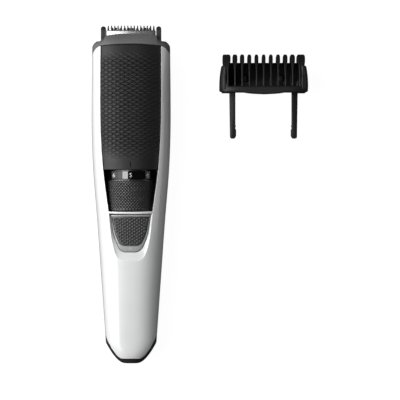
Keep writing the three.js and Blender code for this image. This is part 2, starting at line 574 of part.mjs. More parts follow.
const MOUNT = { disc: 12.2, from: 120.3, face: 122, to: 150, half: 9.6, inner: 8, floor: 10.9, bearing: 3.4 };
function motorMount() {
  const disc = rodY(MOUNT.disc, [MOUNT.from, MOUNT.face], 32).translate(0, 0, DIAL_Z);
  const cradle = box([-MOUNT.half, MOUNT.half], [MOUNT.face, MOUNT.to], [EAR[0], TRAY.top])
    .subtract(box([-MOUNT.inner, MOUNT.inner], [MOUNT.face, MOUNT.to - 2], [MOUNT.floor, 20]));
  const shaftWay = rodY(MOUNT.bearing, [MOUNT.to - 3, MOUNT.to + 1], 20).translate(0, 0, DIAL_Z);
  const wireWay = rodY(6.5, [MOUNT.from - 1, MOUNT.face + 1], 20).translate(0, 0, DIAL_Z);
  const ears = PILLARS.slice(2);
  const ear = (side) => sideBox(side, [9.5, 13.6], [ears[0][1] - 2.6, ears[1][1] + 2.6], EAR);
  return joined(disc, cradle, both(ear)).intersect(form(WALL + 0.4))
    .subtract(joined(shaftWay, wireWay, earCuts(ears)));
}

// A cross-slotted screw, standing at the origin.
function screw() {
  const reach = SCREW.head * 0.65;
  const slot = (x, y) => box([-x, x], [-y, y], [SCREW.top - 0.4, SCREW.top + 1]);
  const head = rodZ(SCREW.head, [SCREW.under, SCREW.top], 0, 0, 12);
  const shank = rodZ(SCREW.shank, [SCREW.end, SCREW.under + 0.1], 0, 0, 8);
  return head.add(shank).subtract(slot(reach, SCREW.slot)).subtract(slot(SCREW.slot, reach));
}

const batteryCell = () =>
  joined(rodY(CELL.radius, [CELL.from, CELL.to]), rodY(2.7, [CELL.to - 0.1, CELL.to + 0.7], 16));

// Bent strips from the cell's ends up to the circuit board.
const TAB = { half: 2.2, thick: 0.4, foot: 9, top: 18.9 };
const tabPositive = () => joined(
  box([-TAB.half, TAB.half], [67, 67 + TAB.thick], [TAB.foot, TAB.top]),
  box([-1, 1], [67, 69], [TAB.top - TAB.thick, TAB.top]));
const tabNegative = () => joined(
  box([-TAB.half, TAB.half], [15.4, 15.4 + TAB.thick], [TAB.foot, TAB.top - 0.1]),
  box([-TAB.half, TAB.half], [15.4, 30], [TAB.top - TAB.thick - 0.1, TAB.top - 0.1]));

const BOARD = { half: 9.2, from: 28, to: 76.5, low: 19.25, high: 20.45 };
const ON_BOARD = BOARD.high + 0.2;
const circuitBoard = () => box([-BOARD.half, BOARD.half], [BOARD.from, BOARD.to], [BOARD.low, BOARD.high]);
const switchBase = () => box([-3, 3], [SWITCH.along - 3, SWITCH.along + 3], [ON_BOARD, 24.1])
  .subtract(rodZ(SWITCH.plunger + 0.3, [22.4, 25], 0, SWITCH.along));
const chargeLed = () => box([-0.8, 0.8], [LIGHT.along - 0.85, LIGHT.along + 0.85], [ON_BOARD, 21.4]);
const chargeCoil = () => rodZ(3.6, [ON_BOARD, 24.4], -3.6, 50, 20);
const driveChip = () => box([1.8, 6.8], [45, 51], [ON_BOARD, 22.1]);
const capacitor = () => rodZ(2.1, [ON_BOARD, 24.8], 4.3, 38, 16);

// The charging socket: an insert behind the end cap's mouth, open towards it, with two contact pins.
const CONTACT = { apart: 1.6, radius: 0.45, from: 6, to: 14.2 };
function chargingSocket() {
  const body = (grow, y) => box([-SOCKET.half - grow, SOCKET.half + grow], y,
    [SOCKET.z - SOCKET.rise - Math.min(grow, 1.1), SOCKET.z + SOCKET.rise + Math.min(grow, 1.1)]);
  const holes = both((side) =>
    rodY(CONTACT.radius + 0.2, [10, 15], 10).translate(side * CONTACT.apart, 0, SOCKET.z));
  return body(SOCKET.wall, [SOCKET.from, SOCKET.to]).subtract(body(0, [5, SOCKET.floor])).subtract(holes);
}
const socketPin = (side) =>
  rodY(CONTACT.radius, [CONTACT.from, CONTACT.to], 10).translate(side * CONTACT.apart, 0, SOCKET.z);

// ---------------------------------------------------------------- motor and drive

// Parts round the motor's axis, which the onAxis group lifts to DIAL_Z.
const MOTOR = { radius: 7.7, flat: 5.9, bellFrom: 122.5, from: 125.2, to: 146.4, boss: 3, bossEnd: 148.8 };
const SHAFT = { radius: 0.75, bore: 0.95, from: 138.3, to: 153.2 };
const THROW = 1.2; // of the eccentric pin: half the cutter's stroke
const FORK = { half: 6, rise: 3.6, from: 154.3, to: 157.9, lintelEnd: 160.2, tipEnd: 170.4 };

const flats = ([y0, y1]) => box([-8, 8], [y0, y1], [-MOTOR.flat, MOTOR.flat]);
const motorCan = () => joined(
  rodY(MOTOR.radius, [MOTOR.from, MOTOR.to]).intersect(flats([120, 150])),
  rodY(MOTOR.boss, [MOTOR.to - 0.1, MOTOR.bossEnd], 20)).subtract(rodY(SHAFT.bore, [138, 150], 12));
const motorEndBell = () =>
  rodY(MOTOR.radius - 0.2, [MOTOR.bellFrom, MOTOR.from - 0.2]).intersect(flats([120, 130]));
const terminal = (side) => sideBox(side, [4.6, 5.8], [MOTOR.bellFrom - 1.9, MOTOR.bellFrom - 0.2], [-1, 1]);
const motorShaft = () => rodY(SHAFT.radius, [SHAFT.from, SHAFT.to], 12);
const eccentric = () => joined(
  rodY(3.2, [150.5, SHAFT.to + 0.4], 20).subtract(rodY(SHAFT.bore, [150, SHAFT.to + 0.2], 12)),
  rodY(0.8, [SHAFT.to + 0.3, FORK.to], 12).translate(0, 0, THROW));

// The bridge that turns the eccentric's circle into a stroke from side to side, and reaches into the head.
function driveBridge() {
  const rise = [-FORK.rise, FORK.rise];
  const yoke = box([-FORK.half, FORK.half], [FORK.from, FORK.to], rise)
    .subtract(box([-3.5, 3.5], [150, 160], [-2.5, 2.5]));
  const lintel = box([-FORK.half, FORK.half], [FORK.to + 0.3, FORK.lintelEnd], rise);
  const posts = both((side) => sideBox(side, [3.8, FORK.half], [FORK.to - 0.4, FORK.to + 0.6], rise));
  const legs = both((side) => sideBox(side, [5, 5.8], [150.4, FORK.from + 0.2], [-2.4, 2.4]));
  const tip = box([-1, 1], [FORK.lintelEnd - 0.2, FORK.tipEnd], [-3.4, -1.7]);
  return joined(yoke, lintel, posts, legs, tip);
}

// A rubber gaiter round the drive tip, which keeps hair out of the motor bay.
const SEAL = { neck: 3.3, flange: 5, from: 160.7, step: 161.8, to: 164.3 };
const driveSeal = () => rodY(SEAL.neck, [SEAL.step, SEAL.to], 20)
  .add(rodY(SEAL.flange, [SEAL.from, SEAL.step + 0.1], 20))
  .subtract(box([-2.5, 2.5], [160, 165], [-2.4, 2.4])).translate(0, 0, SEAM_Z - DIAL_Z);

// ---------------------------------------------------------------- guide comb

const COMB = {
  half: 23.5, depth: 29, wall: 2, ring: 3.6, cheek: 14.5, // the rim and what stands on it
  tines: 11, pitch: 3.8, tineHalf: 0.55, inside: 20.3, outerTine: 20.6, outerTineHalf: 0.75,
  armEnd: -23.9,
};
const COMB_PLACE = new THREE.Vector3(70.2, 142.8, 0); // where it lies, beside the trimmer's head
const COMB_FITTED_Z = 1.4; // the comb's back stands this high above the trimmer's back when it is fitted

// The comb's rim in its own frame: Y up from the rim's lower edge, Z from its back.
const RIM_POINTS = 36;
const RIM_POWER = 0.4;
function combRim(y, inset) {
  const swell = 1 - 0.04 * Math.max(0, (y - 4) / 10) ** 2 - 0.05 * Math.max(0, 1 - y / 1.6) ** 2;
  const half = (COMB.half - inset) * swell;
  const middle = COMB.depth / 2;
  const power = (v) => Math.sign(v) * Math.abs(v) ** RIM_POWER;
  return Array.from({ length: RIM_POINTS }, (_, i) => {
    const angle = 2 * Math.PI * i / RIM_POINTS;
    return [half * power(Math.cos(angle)), y, middle + (middle - inset) * power(Math.sin(angle))];
  });
}

// Outlines from the side, as [Y, Z]: the tines' outer and inner edges, and the web that joins their backs.
const TINE_OUTER = [[2, 28.3], [8, 28], [14, 26.4], [18.6, 22.6], [20.5, 18], [20.3, 13], [18.2, 8],
  [13.5, 3.6], [8, 1.2], [2, 0.5]];
const TINE_INNER = [[2, 2.8], [8, 3.3], [12.2, 6.4], [14.6, 11], [14.6, 18.5], [12.2, 23.2], [7.5, 25.8],
  [2, 26.3]];
const WEB = [[2, 1], [8, 1.7], [13, 4.2], [16.7, 7.8], [15.6, 8.7], [12.2, 5.4], [7.6, 2.9], [2, 2.5]];

function guideComb() {
  const heights = [0, 1.6, 8, 12, COMB.cheek];
  const cup = loft(heights.map((y) => combRim(y, 0)))
    .subtract(loft([-1, ...heights, COMB.cheek + 1].map((y) => combRim(y, COMB.wall))));
  const sides = [-COMB.inside, COMB.inside];
  const openFront = box(sides, [COMB.ring, 30], [COMB.depth / 2 - 0.5, 40]);
  const openBack = box(sides, [9.5, 30], [UNDER, COMB.depth / 2 - 0.5]);
  const chin = prismZ([[-11, 0.5], [-6, -0.6], [0, -0.9], [6, -0.6], [11, 0.5]],
    [COMB.depth - COMB.wall, COMB.depth - 0.4]);
  const web = prismX(WEB, sides);

  const tine = (x, half) => prismX([...TINE_OUTER, ...TINE_INNER], [x - half, x + half]);
  const tines = Array.from({ length: COMB.tines }, (_, i) =>
    tine((i - (COMB.tines - 1) / 2) * COMB.pitch, COMB.tineHalf));
  const outerTines = both((side) => tine(side * COMB.outerTine, COMB.outerTineHalf));

  const armZ = [ARM.low - COMB_FITTED_Z, ARM.high - COMB_FITTED_Z];
  const within = (by) => [armZ[0] + by, armZ[1] - by];
  const arm = (side) => joined(
    sideBox(side, [ARM.inner, ARM.outer], [COMB.armEnd + 1, 2.4], armZ),
    sideBox(side, [ARM.inner + 0.5, ARM.outer - 0.4], [COMB.armEnd, COMB.armEnd + 1.1], armZ),
    sideBox(side, [ARM.inner - 0.4, ARM.inner + 0.5], [COMB.armEnd + 1.3, COMB.armEnd + 5.1], within(0.8)),
    sideBox(side, [ARM.inner, COMB.half - 1.3], [0.2, 2.4], within(-1.4)),
  );
  return joined(cup.subtract(openFront).subtract(openBack), chin, web, ...tines, outerTines, both(arm));
}

// ---------------------------------------------------------------- assembly

node('front_shell', frontShell(), WHITE, trimmer);
node('rear_shell', rearShell(), BLACK, trimmer);
node('end_cap', endCap(), BLACK, trimmer);
node('grip_panel', gripPanel(), GRIP_BLACK, trimmer);
node('collar', collar(), SATIN_GREY, trimmer);

node('head_frame', headFrame(), BLACK, trimmer);
node('guard_blade', guardBlade(), STEEL, trimmer);
node('cutter_blade', cutterBlade(), STEEL, trimmer);
node('cutter_carrier', cutterCarrier(), NATURAL, trimmer);
node('cutter_spring', cutterSpring(), STEEL, trimmer);

node('button_frame', buttonFrame(), SATIN_GREY, trimmer);
node('button_pad', buttonPad(), GRIP_BLACK, trimmer);
node('light_pipe', lightPipe(), CLEAR, trimmer);
node('switch_plunger', switchPlunger(), NATURAL, trimmer);

node('length_dial', lengthDial(), GRIP_BLACK, onAxis);
node('scale_ring', scaleRing(), GLOSS_BLACK, onAxis);
node('comb_carriage', combCarriage(), NATURAL, trimmer);
node('cam_follower_pin', followerPin(), STEEL, trimmer);
node('detent_spring', detentSpring(), STEEL, trimmer);

node('lower_chassis', lowerChassis(), NATURAL, trimmer);
node('motor_mount', motorMount(), NATURAL, trimmer);
PILLARS.forEach(([x, y], i) => [1, -1].forEach((side) => {
  const number = 2 * (i % 2) + (side > 0 ? 1 : 2);
  const holds = i < 2 ? 'chassis' : 'mount';
  node(`${holds}_screw_${number}`, screw(), ZINC, trimmer).position.set(side * x, y, 0);
}));
node('battery_cell', batteryCell(), CELL_WRAP, trimmer).position.z = CELL.z;
node('battery_tab_positive', tabPositive(), ZINC, trimmer);
node('battery_tab_negative', tabNegative(), ZINC, trimmer);
node('circuit_board', circuitBoard(), BOARD_GREEN, trimmer);
node('switch_base', switchBase(), BLACK, trimmer);
node('charge_led', chargeLed(), CLEAR, trimmer);
node('charge_coil', chargeCoil(), BLACK, trimmer);
node('drive_chip', driveChip(), BLACK, trimmer);
node('capacitor', capacitor(), ZINC, trimmer);
node('charging_socket', chargingSocket(), BLACK, trimmer);
node('socket_pin_left', socketPin(-1), BRASS, trimmer);
node('socket_pin_right', socketPin(1), BRASS, trimmer);

node('motor_can', motorCan(), ZINC, onAxis);
node('motor_end_bell', motorEndBell(), NATURAL, onAxis);
node('motor_terminal_left', terminal(-1), BRASS, onAxis);
node('motor_terminal_right', terminal(1), BRASS, onAxis);
node('motor_shaft', motorShaft(), STEEL, onAxis);
node('eccentric', eccentric(), NATURAL, onAxis);
node('drive_bridge', driveBridge(), NATURAL, onAxis);
node('drive_seal', driveSeal(), RUBBER, onAxis);

node('guide_comb', guideComb(), BLACK, trimmer).position.copy(COMB_PLACE);

const beardTrimmer = new THREE.Group();
beardTrimmer.name = 'beard_trimmer';
beardTrimmer.add(trimmer);

export default beardTrimmer;
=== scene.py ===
"""A cordless beard trimmer and its guide comb: the looks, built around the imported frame.

Shapes are worked in millimetres, with "along" measured from the trimmer's bottom end, and placed in the frame
in metres.
"""

import json
import math
from contextlib import contextmanager

import bmesh
import bpy
import numpy as np
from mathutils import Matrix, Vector


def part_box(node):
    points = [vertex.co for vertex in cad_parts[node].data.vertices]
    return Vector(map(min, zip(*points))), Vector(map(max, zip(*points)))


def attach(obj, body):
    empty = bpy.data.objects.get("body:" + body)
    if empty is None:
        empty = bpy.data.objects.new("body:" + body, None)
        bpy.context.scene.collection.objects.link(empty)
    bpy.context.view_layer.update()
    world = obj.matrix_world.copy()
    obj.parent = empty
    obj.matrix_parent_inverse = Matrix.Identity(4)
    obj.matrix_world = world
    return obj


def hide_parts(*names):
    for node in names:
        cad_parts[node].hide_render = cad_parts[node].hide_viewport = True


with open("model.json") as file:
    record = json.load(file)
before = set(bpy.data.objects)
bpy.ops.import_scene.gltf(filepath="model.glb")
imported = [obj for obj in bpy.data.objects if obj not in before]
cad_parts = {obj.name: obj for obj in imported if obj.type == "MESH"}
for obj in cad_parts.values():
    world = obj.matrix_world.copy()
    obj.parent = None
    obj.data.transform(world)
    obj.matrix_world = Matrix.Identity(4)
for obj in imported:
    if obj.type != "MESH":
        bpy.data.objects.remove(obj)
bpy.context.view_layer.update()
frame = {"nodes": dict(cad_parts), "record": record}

MM = 0.001
SIDE_NAME = {1: "right", -1: "left"}
QUARTER = np.linspace(0, math.pi / 2, 6)
SHARP = math.radians(30)


def frame_mm(node):
    """(low, high) corners of a CAD node in millimetres."""
    low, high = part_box(node)
    return np.array(low) / MM, np.array(high) / MM


ORIGIN_ALONG = -frame_mm("end_cap")[0][1]

# ---- dimensions shared with the frame, millimetres

SEAM_Z = 15.0
WALL = 1.6
GAP = 0.25
SECTION_POWER = 2.5
REST_FROM, REST_TO, REST_DIP = 20.0, 130.0, 0.35
CROWN_AT, CROWN_Z = 105.0, 32.4
TRIM = 0.03  # the fine skin lies this far inside the frame's facets
BODY_LENGTH = 174.0
DIAL_Z = 17.1
DIAL_FROM, BAND_END, SEAT_END, DIAL_END = 80.6, 96.9, 101.9, 119.5
GRIP_RADIUS, SEAT_RADIUS, SLEEVE_RADIUS, BORE_RADIUS = 14.7, 13.3, 12.6, 10.8
SCALE_FROM, SCALE_TO, SCALE_RADIUS = 97.2, 101.6, 15.0
BRIDGE_FROM, BRIDGE_TO = 79.2, 80.3
PANEL_FROM = 102.2
RECESS_DEPTH = 1.6
WIDTH_KNOTS = [(0, 12.7), (40, 15.5), (74, 17.9), (100, 20.0), (120, 20.85), (140, 20.95), (175, 20.6)]
WINDOW_KNOTS = [
    (0, 54.6), (4, 54.7), (6.9, 56.6), (8.9, 61.8), (10.2, 68.4), (11.5, 80), (12.9, 90), (14.3, 101),
    (15.4, 115), (15.95, 130), (16, 150), (15.9, 176),
]
BUTTON_KNOTS = [(0, 59), (3, 59.05), (5.2, 60.1), (6.9, 62.8), (8.9, 68.4), (10.35, 78)]
PAD_KNOTS = [(0, 62.2), (3.6, 62.25), (5.6, 63.4), (6.8, 65.6), (8.25, 69.4), (9.85, 77)]
BUTTON_TOP, PAD_TOP = 78.6, 77.6
BUTTON_MIDDLE = 68.0
EDGE_ROUND = 0.3
UNDERSIDE_STRIDE = 6  # grid cells to one face on the hidden side of a fine skin

# ---- the body's outer form


def spline(knots, count):
    """Points along the uniform Catmull-Rom curve through the knots."""
    p = np.array(knots, float)
    p = np.vstack([p[:1], p, p[-1:]])
    t = np.linspace(0, len(knots) - 1, count)
    i = np.minimum(t.astype(int), len(knots) - 2)
    f = (t - i)[:, None]
    a, b, c, d = p[i], p[i + 1], p[i + 2], p[i + 3]
    return 0.5 * (2 * b + (c - a) * f + (2 * a - 5 * b + 4 * c - d) * f**2 + (3 * b - a - 3 * c + d) * f**3)


WIDTH_CURVE = spline(WIDTH_KNOTS, 400)
WINDOW_CURVE = spline(WINDOW_KNOTS, 600)


def half_width(along):
    y = np.clip(along, 0, BODY_LENGTH)
    side = np.interp(y, WIDTH_CURVE[:, 0], WIDTH_CURVE[:, 1])
    corner = 4 + 2.27 * y**0.6
    shoulder = side - 0.2 * np.maximum(0, y - 167) ** 2
    return np.minimum(corner, shoulder) - TRIM


def window_half(along):
    return np.interp(along, WINDOW_CURVE[:, 1], WINDOW_CURVE[:, 0])


def end_tuck(along):
    return 2.2 * np.maximum(0, 1 - np.asarray(along) / 7) ** 2


def front_z(along):
    along = np.asarray(along, float)
    fall = np.where(along < CROWN_AT, 0.000687, 0.0013)
    roll = 0.09 * np.maximum(0, along - 167.5) ** 2
    return CROWN_Z - TRIM - fall * (along - CROWN_AT) ** 2 - roll - end_tuck(along)


def back_z(along):
    along = np.asarray(along, float)
    rise = 0.0085 * np.maximum(0, REST_FROM - along) ** 2 + 0.0036 * np.maximum(0, along - REST_TO) ** 2
    return rise - REST_DIP + end_tuck(along)


def body_point(angle, along, inset=0.0, half=None):
    """Points of the body's skin: angle 0 is the right seam, a quarter turn is the front's middle."""
    angle, along, inset = np.broadcast_arrays(np.asarray(angle, float), np.asarray(along, float), inset)
    c, s = np.cos(angle), np.sin(angle)
    power = 2 / SECTION_POWER
    reach = np.where(s > 0, front_z(along) - SEAM_Z, SEAM_Z - back_z(along)) - inset
    x = ((half_width(along) if half is None else half) - inset) * np.sign(c) * np.abs(c) ** power
    z = SEAM_Z + reach * np.sign(s) * np.abs(s) ** power
    return np.stack([x, along, np.maximum(z, 0)], -1)


def angle_at(x, along):
    """The section angle on the front whose point has this x."""
    share = np.clip(x / half_width(along), -1, 1)
    return np.arccos(np.sign(share) * np.abs(share) ** (SECTION_POWER / 2))


def surface_z(x, along):
    """The height of the front face."""
    share = np.minimum(1, np.abs(x) / half_width(along))
    return SEAM_Z + (front_z(along) - SEAM_Z) * (1 - share**SECTION_POWER) ** (1 / SECTION_POWER)


def collar_line(x):
    return 168.8 - 0.004 * x * x - 0.13 * np.maximum(0, np.abs(x) - 16) ** 2.2


def cap_line(x):
    return 2.3 + 0.22 * np.maximum(0, np.abs(x) - 4.5) ** 1.82


def smooth(low, high, value):
    t = np.clip((value - low) / (high - low), 0, 1)
    return t * t * (3 - 2 * t)


def settled(along, line):
    """Stations moved along the body, half way each time, until they lie on the line."""
    for _ in range(40):
        along = 0.5 * along + 0.5 * line(along)
    return along


def on_front(plan, below):
    """Points of a plan outline, this far below the front face."""
    return np.stack([plan[:, 0], plan[:, 1], surface_z(plan[:, 0], plan[:, 1]) - below], 1)


def full_turn(count):
    return np.linspace(0, 2 * math.pi, count, endpoint=False)


# ---- meshes


def linked(name, data):
    obj = bpy.data.objects.new(name, data)
    bpy.context.scene.collection.objects.link(obj)
    return obj


@contextmanager
def edited(mesh):
    work = bmesh.new()
    work.from_mesh(mesh)
    yield work
    work.to_mesh(mesh)
    work.free()


def new_mesh(name, points, faces):
    """A mesh object from points in millimetres, with its faces turned outwards."""
    mesh = bpy.data.meshes.new(name)
    where = (np.asarray(points, float).reshape(-1, 3) - [0, ORIGIN_ALONG, 0]) * MM
    mesh.from_pydata([tuple(p) for p in where], [], [tuple(int(i) for i in f) for f in faces])
    with edited(mesh) as work:
        bmesh.ops.delete(work, geom=[v for v in work.verts if not v.link_faces], context="VERTS")
        bmesh.ops.remove_doubles(work, verts=work.verts, dist=1e-7)
        bmesh.ops.recalc_face_normals(work, faces=work.faces)
    return linked(name, mesh)


def swept(name, rings, closed_sweep=False):
    """A solid through closed rings of points: a loop of rings, or an open row with a cap on each end."""
    rings = np.asarray(rings, float)
    count, per_ring = rings.shape[:2]
    faces = []
    for r in range(count if closed_sweep else count - 1):
        a, b = r * per_ring, ((r + 1) % count) * per_ring
        faces += [(a + i, a + (i + 1) % per_ring, b + (i + 1) % per_ring, b + i) for i in range(per_ring)]
    if not closed_sweep:
        faces += [tuple(range(per_ring)), tuple((count - 1) * per_ring + i for i in range(per_ring))]
    return new_mesh(name, rings, faces)


def slab(name, top, bottom, stride=1):
    """A closed solid between two grids of points. The faces of its underside span stride cells each."""
    rows, cols = top.shape[:2]
    count = rows * cols
    at = np.arange(count).reshape(rows, cols)
    quads = np.stack([at[:-1, :-1], at[:-1, 1:], at[1:, 1:], at[1:, :-1]], -1).reshape(-1, 4)
    rim = np.concatenate([at[0, :], at[1:, -1], at[-1, -2::-1], at[-2:0:-1, 0]])
    after = np.roll(rim, -1)
    faces = [*quads, *np.stack([rim, after, after + count, rim + count], -1)]
    row_stops = [*range(0, rows - 1, stride), rows - 1]
    col_stops = [*range(0, cols - 1, stride), cols - 1]
    under = at + count
    for r, r_end in zip(row_stops, row_stops[1:]):
        for c, c_end in zip(col_stops, col_stops[1:]):
            # A face keeps every point of its sides that lie on the rim, and only the corners elsewhere.
            left = under[r:r_end, c] if c == 0 else under[r:r + 1, c]
            far = under[r_end, c:c_end] if r_end == rows - 1 else under[r_end, c:c + 1]
            right = under[r_end:r:-1, c_end] if c_end == cols - 1 else under[r_end:r_end + 1, c_end]
            near = under[r, c_end:c:-1] if r == 0 else under[r, c_end:c_end + 1]
            faces.append(np.concatenate([left, far, right, near]))
    return new_mesh(name, np.concatenate([top.reshape(-1, 3), bottom.reshape(-1, 3)]), faces)


def round_edges(work, edges, offset, segments):
    bmesh.ops.bevel(
        work, geom=edges, offset=offset, segments=segments, profile=0.5, affect="EDGES", clamp_overlap=True)


def rounded_box(name, x, y, z, radius):
    """A box with its edges rounded, unless the radius is 0."""
    work = bmesh.new()
    bmesh.ops.create_cube(work, size=1)
    for v in work.verts:
        for axis, (low, high) in enumerate((x, y, z)):
            v.co[axis] = low if v.co[axis] < 0 else high
    round_edges(work, work.edges[:], radius, 3)
    points = np.array([v.co for v in work.verts])
    faces = [[v.index for v in f.verts] for f in work.faces]
    work.free()
    return new_mesh(name, points, faces)


def plate(name, outline, low, high, plane="xy", radius=0.0, segments=2):
    """An outline extruded straight up (plane xy) or across (plane yz), with its edges rounded."""
    outline = [tuple(p) for p in outline]
    count = len(outline)
    points = [(*p, low) for p in outline] + [(*p, high) for p in outline]
    if plane == "yz":
        points = [(d, a, b) for a, b, d in points]
    faces = [tuple(range(count)), tuple(range(count, 2 * count))]
    faces += [(i, (i + 1) % count, count + (i + 1) % count, count + i) for i in range(count)]
    obj = new_mesh(name, points, faces)
    if radius:
        with edited(obj.data) as work:
            sharp = [e for e in work.edges if len(e.link_faces) == 2 and e.calc_face_angle(0) > SHARP]
            round_edges(work, sharp, radius * MM, segments)
    return obj


def evaluated_mesh(obj):
    bpy.context.view_layer.update()
    return bpy.data.meshes.new_from_object(obj.evaluated_get(bpy.context.evaluated_depsgraph_get()))


def apply_modifiers(obj):
    old = obj.data
    fresh = evaluated_mesh(obj)
    obj.modifiers.clear()
    obj.data = fresh
    bpy.data.meshes.remove(old)


def combine(obj, others, operation="UNION"):
    """Joins the others to obj, or cuts them out of it, and removes them."""
    for other in others:
        step = obj.modifiers.new("cut", "BOOLEAN")
        step.operation = operation
        step.solver = "EXACT"
        step.object = other
        apply_modifiers(obj)
        bpy.data.objects.remove(other)
    return obj


def soften(obj, voxel, passes=4):
    """Rounds every edge of a solid a little by remeshing it finely and smoothing."""
    step = obj.modifiers.new("remesh", "REMESH")
    step.mode = "VOXEL"
    step.voxel_size = voxel * MM
    apply_modifiers(obj)
    step = obj.modifiers.new("smooth", "SMOOTH")
    step.factor = 0.5
    step.iterations = passes
    apply_modifiers(obj)
    return obj


def reshape(obj, move):
    """Moves every vertex by a function of its place in millimetres, measured along the trimmer."""
    shift = np.array([0, ORIGIN_ALONG, 0])
    for v in obj.data.vertices:
        v.co = Vector((move(np.array(v.co) / MM + shift) - shift) * MM)
    return obj


def sliced(obj, across, along):
    """Adds loops to a plate at these stations, so that it can be bent."""
    cuts = [((x * MM, 0, 0), (1, 0, 0)) for x in across]
    cuts += [((0, (y - ORIGIN_ALONG) * MM, 0), (0, 1, 0)) for y in along]
    with edited(obj.data) as work:
        for point, normal in cuts:
            everything = work.verts[:] + work.edges[:] + work.faces[:]
            bmesh.ops.bisect_plane(work, geom=everything, plane_co=point, plane_no=normal, dist=1e-7)
    return obj


def show(obj, body, slot, node=None, look=None, smooth_angle=40):
    """Gives a finished piece its material, from its own look or else its slot, smooth shading and its body,
    and hides the CAD node that it stands for.
    """
    obj.data.materials.clear()
    obj.data.materials.append(look or SLOT_LOOK[slot])
    for p in obj.data.polygons:
        p.use_smooth = True
    if smooth_angle:
        obj.data.set_sharp_from_angle(angle=math.radians(smooth_angle))
    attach(obj, body)
    if node:
        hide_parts(node)
    return obj


# ---- materials


class Look:
    """A small builder for a node material on a Principled shader."""

    def __init__(self, name, color, roughness, metallic=0.0, **sockets):
        self.material = bpy.data.materials.new(name)
        self.material.use_nodes = True
        self.tree = self.material.node_tree
        self.shader = self.tree.nodes["Principled BSDF"]
        self.color = (*color, 1)
        self.set("Base Color", self.color)
        self.set("Roughness", roughness)
        self.set("Metallic", metallic)
        for key, value in sockets.items():
            self.set(key.replace("_", " "), value)
        self.place = self.node("TexCoord").outputs["Object"]

    def set(self, socket, value):
        self.shader.inputs[socket].default_value = value

    def link(self, a, b):
        self.tree.links.new(a, b)

    def node(self, kind, **values):
        node = self.tree.nodes.new("ShaderNode" + kind)
        for key, value in values.items():
            node.inputs[key.replace("_", " ")].default_value = value
        return node

    def noise(self, size_mm, detail, stretch=(1, 1, 1)):
        """Noise whose features are about size_mm across, longer along an axis with a stretch over 1."""
        mapping = self.node("Mapping", Scale=[1 / (size_mm * MM * k) for k in stretch])
        self.link(self.place, mapping.inputs["Vector"])
        texture = self.node("TexNoise", Scale=1, Detail=detail, Roughness=0.5)
        self.link(mapping.outputs["Vector"], texture.inputs["Vector"])
        return texture.outputs["Fac"]

    def ranged(self, value, low, high):
        """The noise's middle range, stretched from low to high."""
        node = self.node("MapRange", From_Min=0.3, From_Max=0.7, To_Min=low, To_Max=high)
        self.link(value, node.inputs["Value"])
        return node.outputs["Result"]

    def roughness(self, value, low, high):
        self.link(self.ranged(value, low, high), self.shader.inputs["Roughness"])

    def tint(self, value, other, most=1.0):
        """Mixes towards another colour by a value."""
        node = self.tree.nodes.new("ShaderNodeMix")
        node.data_type = "RGBA"
        factor, own, another = (node.inputs[i] for i in (0, 6, 7))  # the sockets for colours
        mixed = node.outputs[2]
        own.default_value = self.color
        another.default_value = (*other, 1)
        self.link(self.ranged(value, 0.0, most), factor)
        self.link(mixed, self.shader.inputs["Base Color"])

    def bump(self, value, height_mm):
        node = self.node("Bump", Strength=1.0, Distance=height_mm * MM)
        self.link(value, node.inputs["Height"])
        self.link(node.outputs["Normal"], self.shader.inputs["Normal"])


def grey(value):
    return (value, value, value)


def moulded(name, color, roughness, grain=0.012, spread=0.08, wear=None, shine=0.5, **sockets):
    """Moulded plastic: fine spark-eroded grain, slow colour drift and smudged gloss."""
    look = Look(name, color, roughness, Specular_IOR_Level=shine, **sockets)
    look.roughness(look.noise(9, 4), max(0.02, roughness - spread), roughness + spread)
    look.tint(look.noise(14, 2), wear or tuple(c * 0.86 for c in color), 0.6)
    look.bump(look.noise(0.12, 2), grain)
    return look.material


def metal(name, color, roughness, stretch=(12, 1, 1)):
    """Brushed metal, with the brushing along the stretched axis."""
    look = Look(name, color, roughness, metallic=1.0)
    brushed = look.noise(0.09, 3, stretch)
    look.roughness(brushed, roughness * 0.88, roughness * 1.12)
    look.tint(look.noise(5, 3), tuple(c * 0.85 for c in color), 0.5)
    look.bump(brushed, 0.0002)
    return look.material


SLOT_LOOK = {
    "shell_white": moulded(
        "white_gloss", (0.86, 0.865, 0.87), 0.16, grain=0.0012, spread=0.03, wear=(0.82, 0.825, 0.83),
        Coat_Weight=0.35, Coat_Roughness=0.06),
    "shell_black": moulded("rear_plastic", grey(0.018), 0.5, grain=0.014, spread=0.07),
    "grip": moulded("grip_plastic", grey(0.008), 0.48, grain=0.004, spread=0.04, shine=0.44),
    "collar_grey": moulded("collar_plastic", grey(0.16), 0.45, grain=0.002, spread=0.05, shine=0.2),
    "button_grey": moulded("button_plastic", grey(0.4), 0.3, grain=0.003, spread=0.04),
    "gloss_black": moulded("scale_plastic", grey(0.002), 0.06, grain=0.0004, spread=0.02, shine=0.42),
    "clear_plastic": moulded("light_pipe", (0.46, 0.49, 0.49), 0.2, grain=0.001, spread=0.04),
    "comb_black": moulded("comb_plastic", grey(0.012), 0.42, grain=0.006, spread=0.05, shine=0.3),
    "natural_plastic": moulded("natural_nylon", (0.62, 0.6, 0.52), 0.5, grain=0.01),
    "seal_rubber": moulded("seal_rubber_look", grey(0.02), 0.75, grain=0.02),
    "board_green": moulded("board_green_look", (0.02, 0.13, 0.05), 0.35, grain=0.004),
    "cell_wrap": moulded("cell_wrap_look", (0.02, 0.2, 0.11), 0.3, grain=0.003),
    "component_black": moulded("component_black_look", grey(0.02), 0.45),
    "blade_steel": metal("blade_steel_look", (0.46, 0.46, 0.47), 0.2, (1, 14, 1)),
    "spring_steel": metal("spring_steel_look", (0.55, 0.55, 0.56), 0.3),
    "plated_metal": metal("plated_look", (0.62, 0.62, 0.63), 0.34),
    "contact_brass": metal("brass_look", (0.7, 0.52, 0.26), 0.3),
}
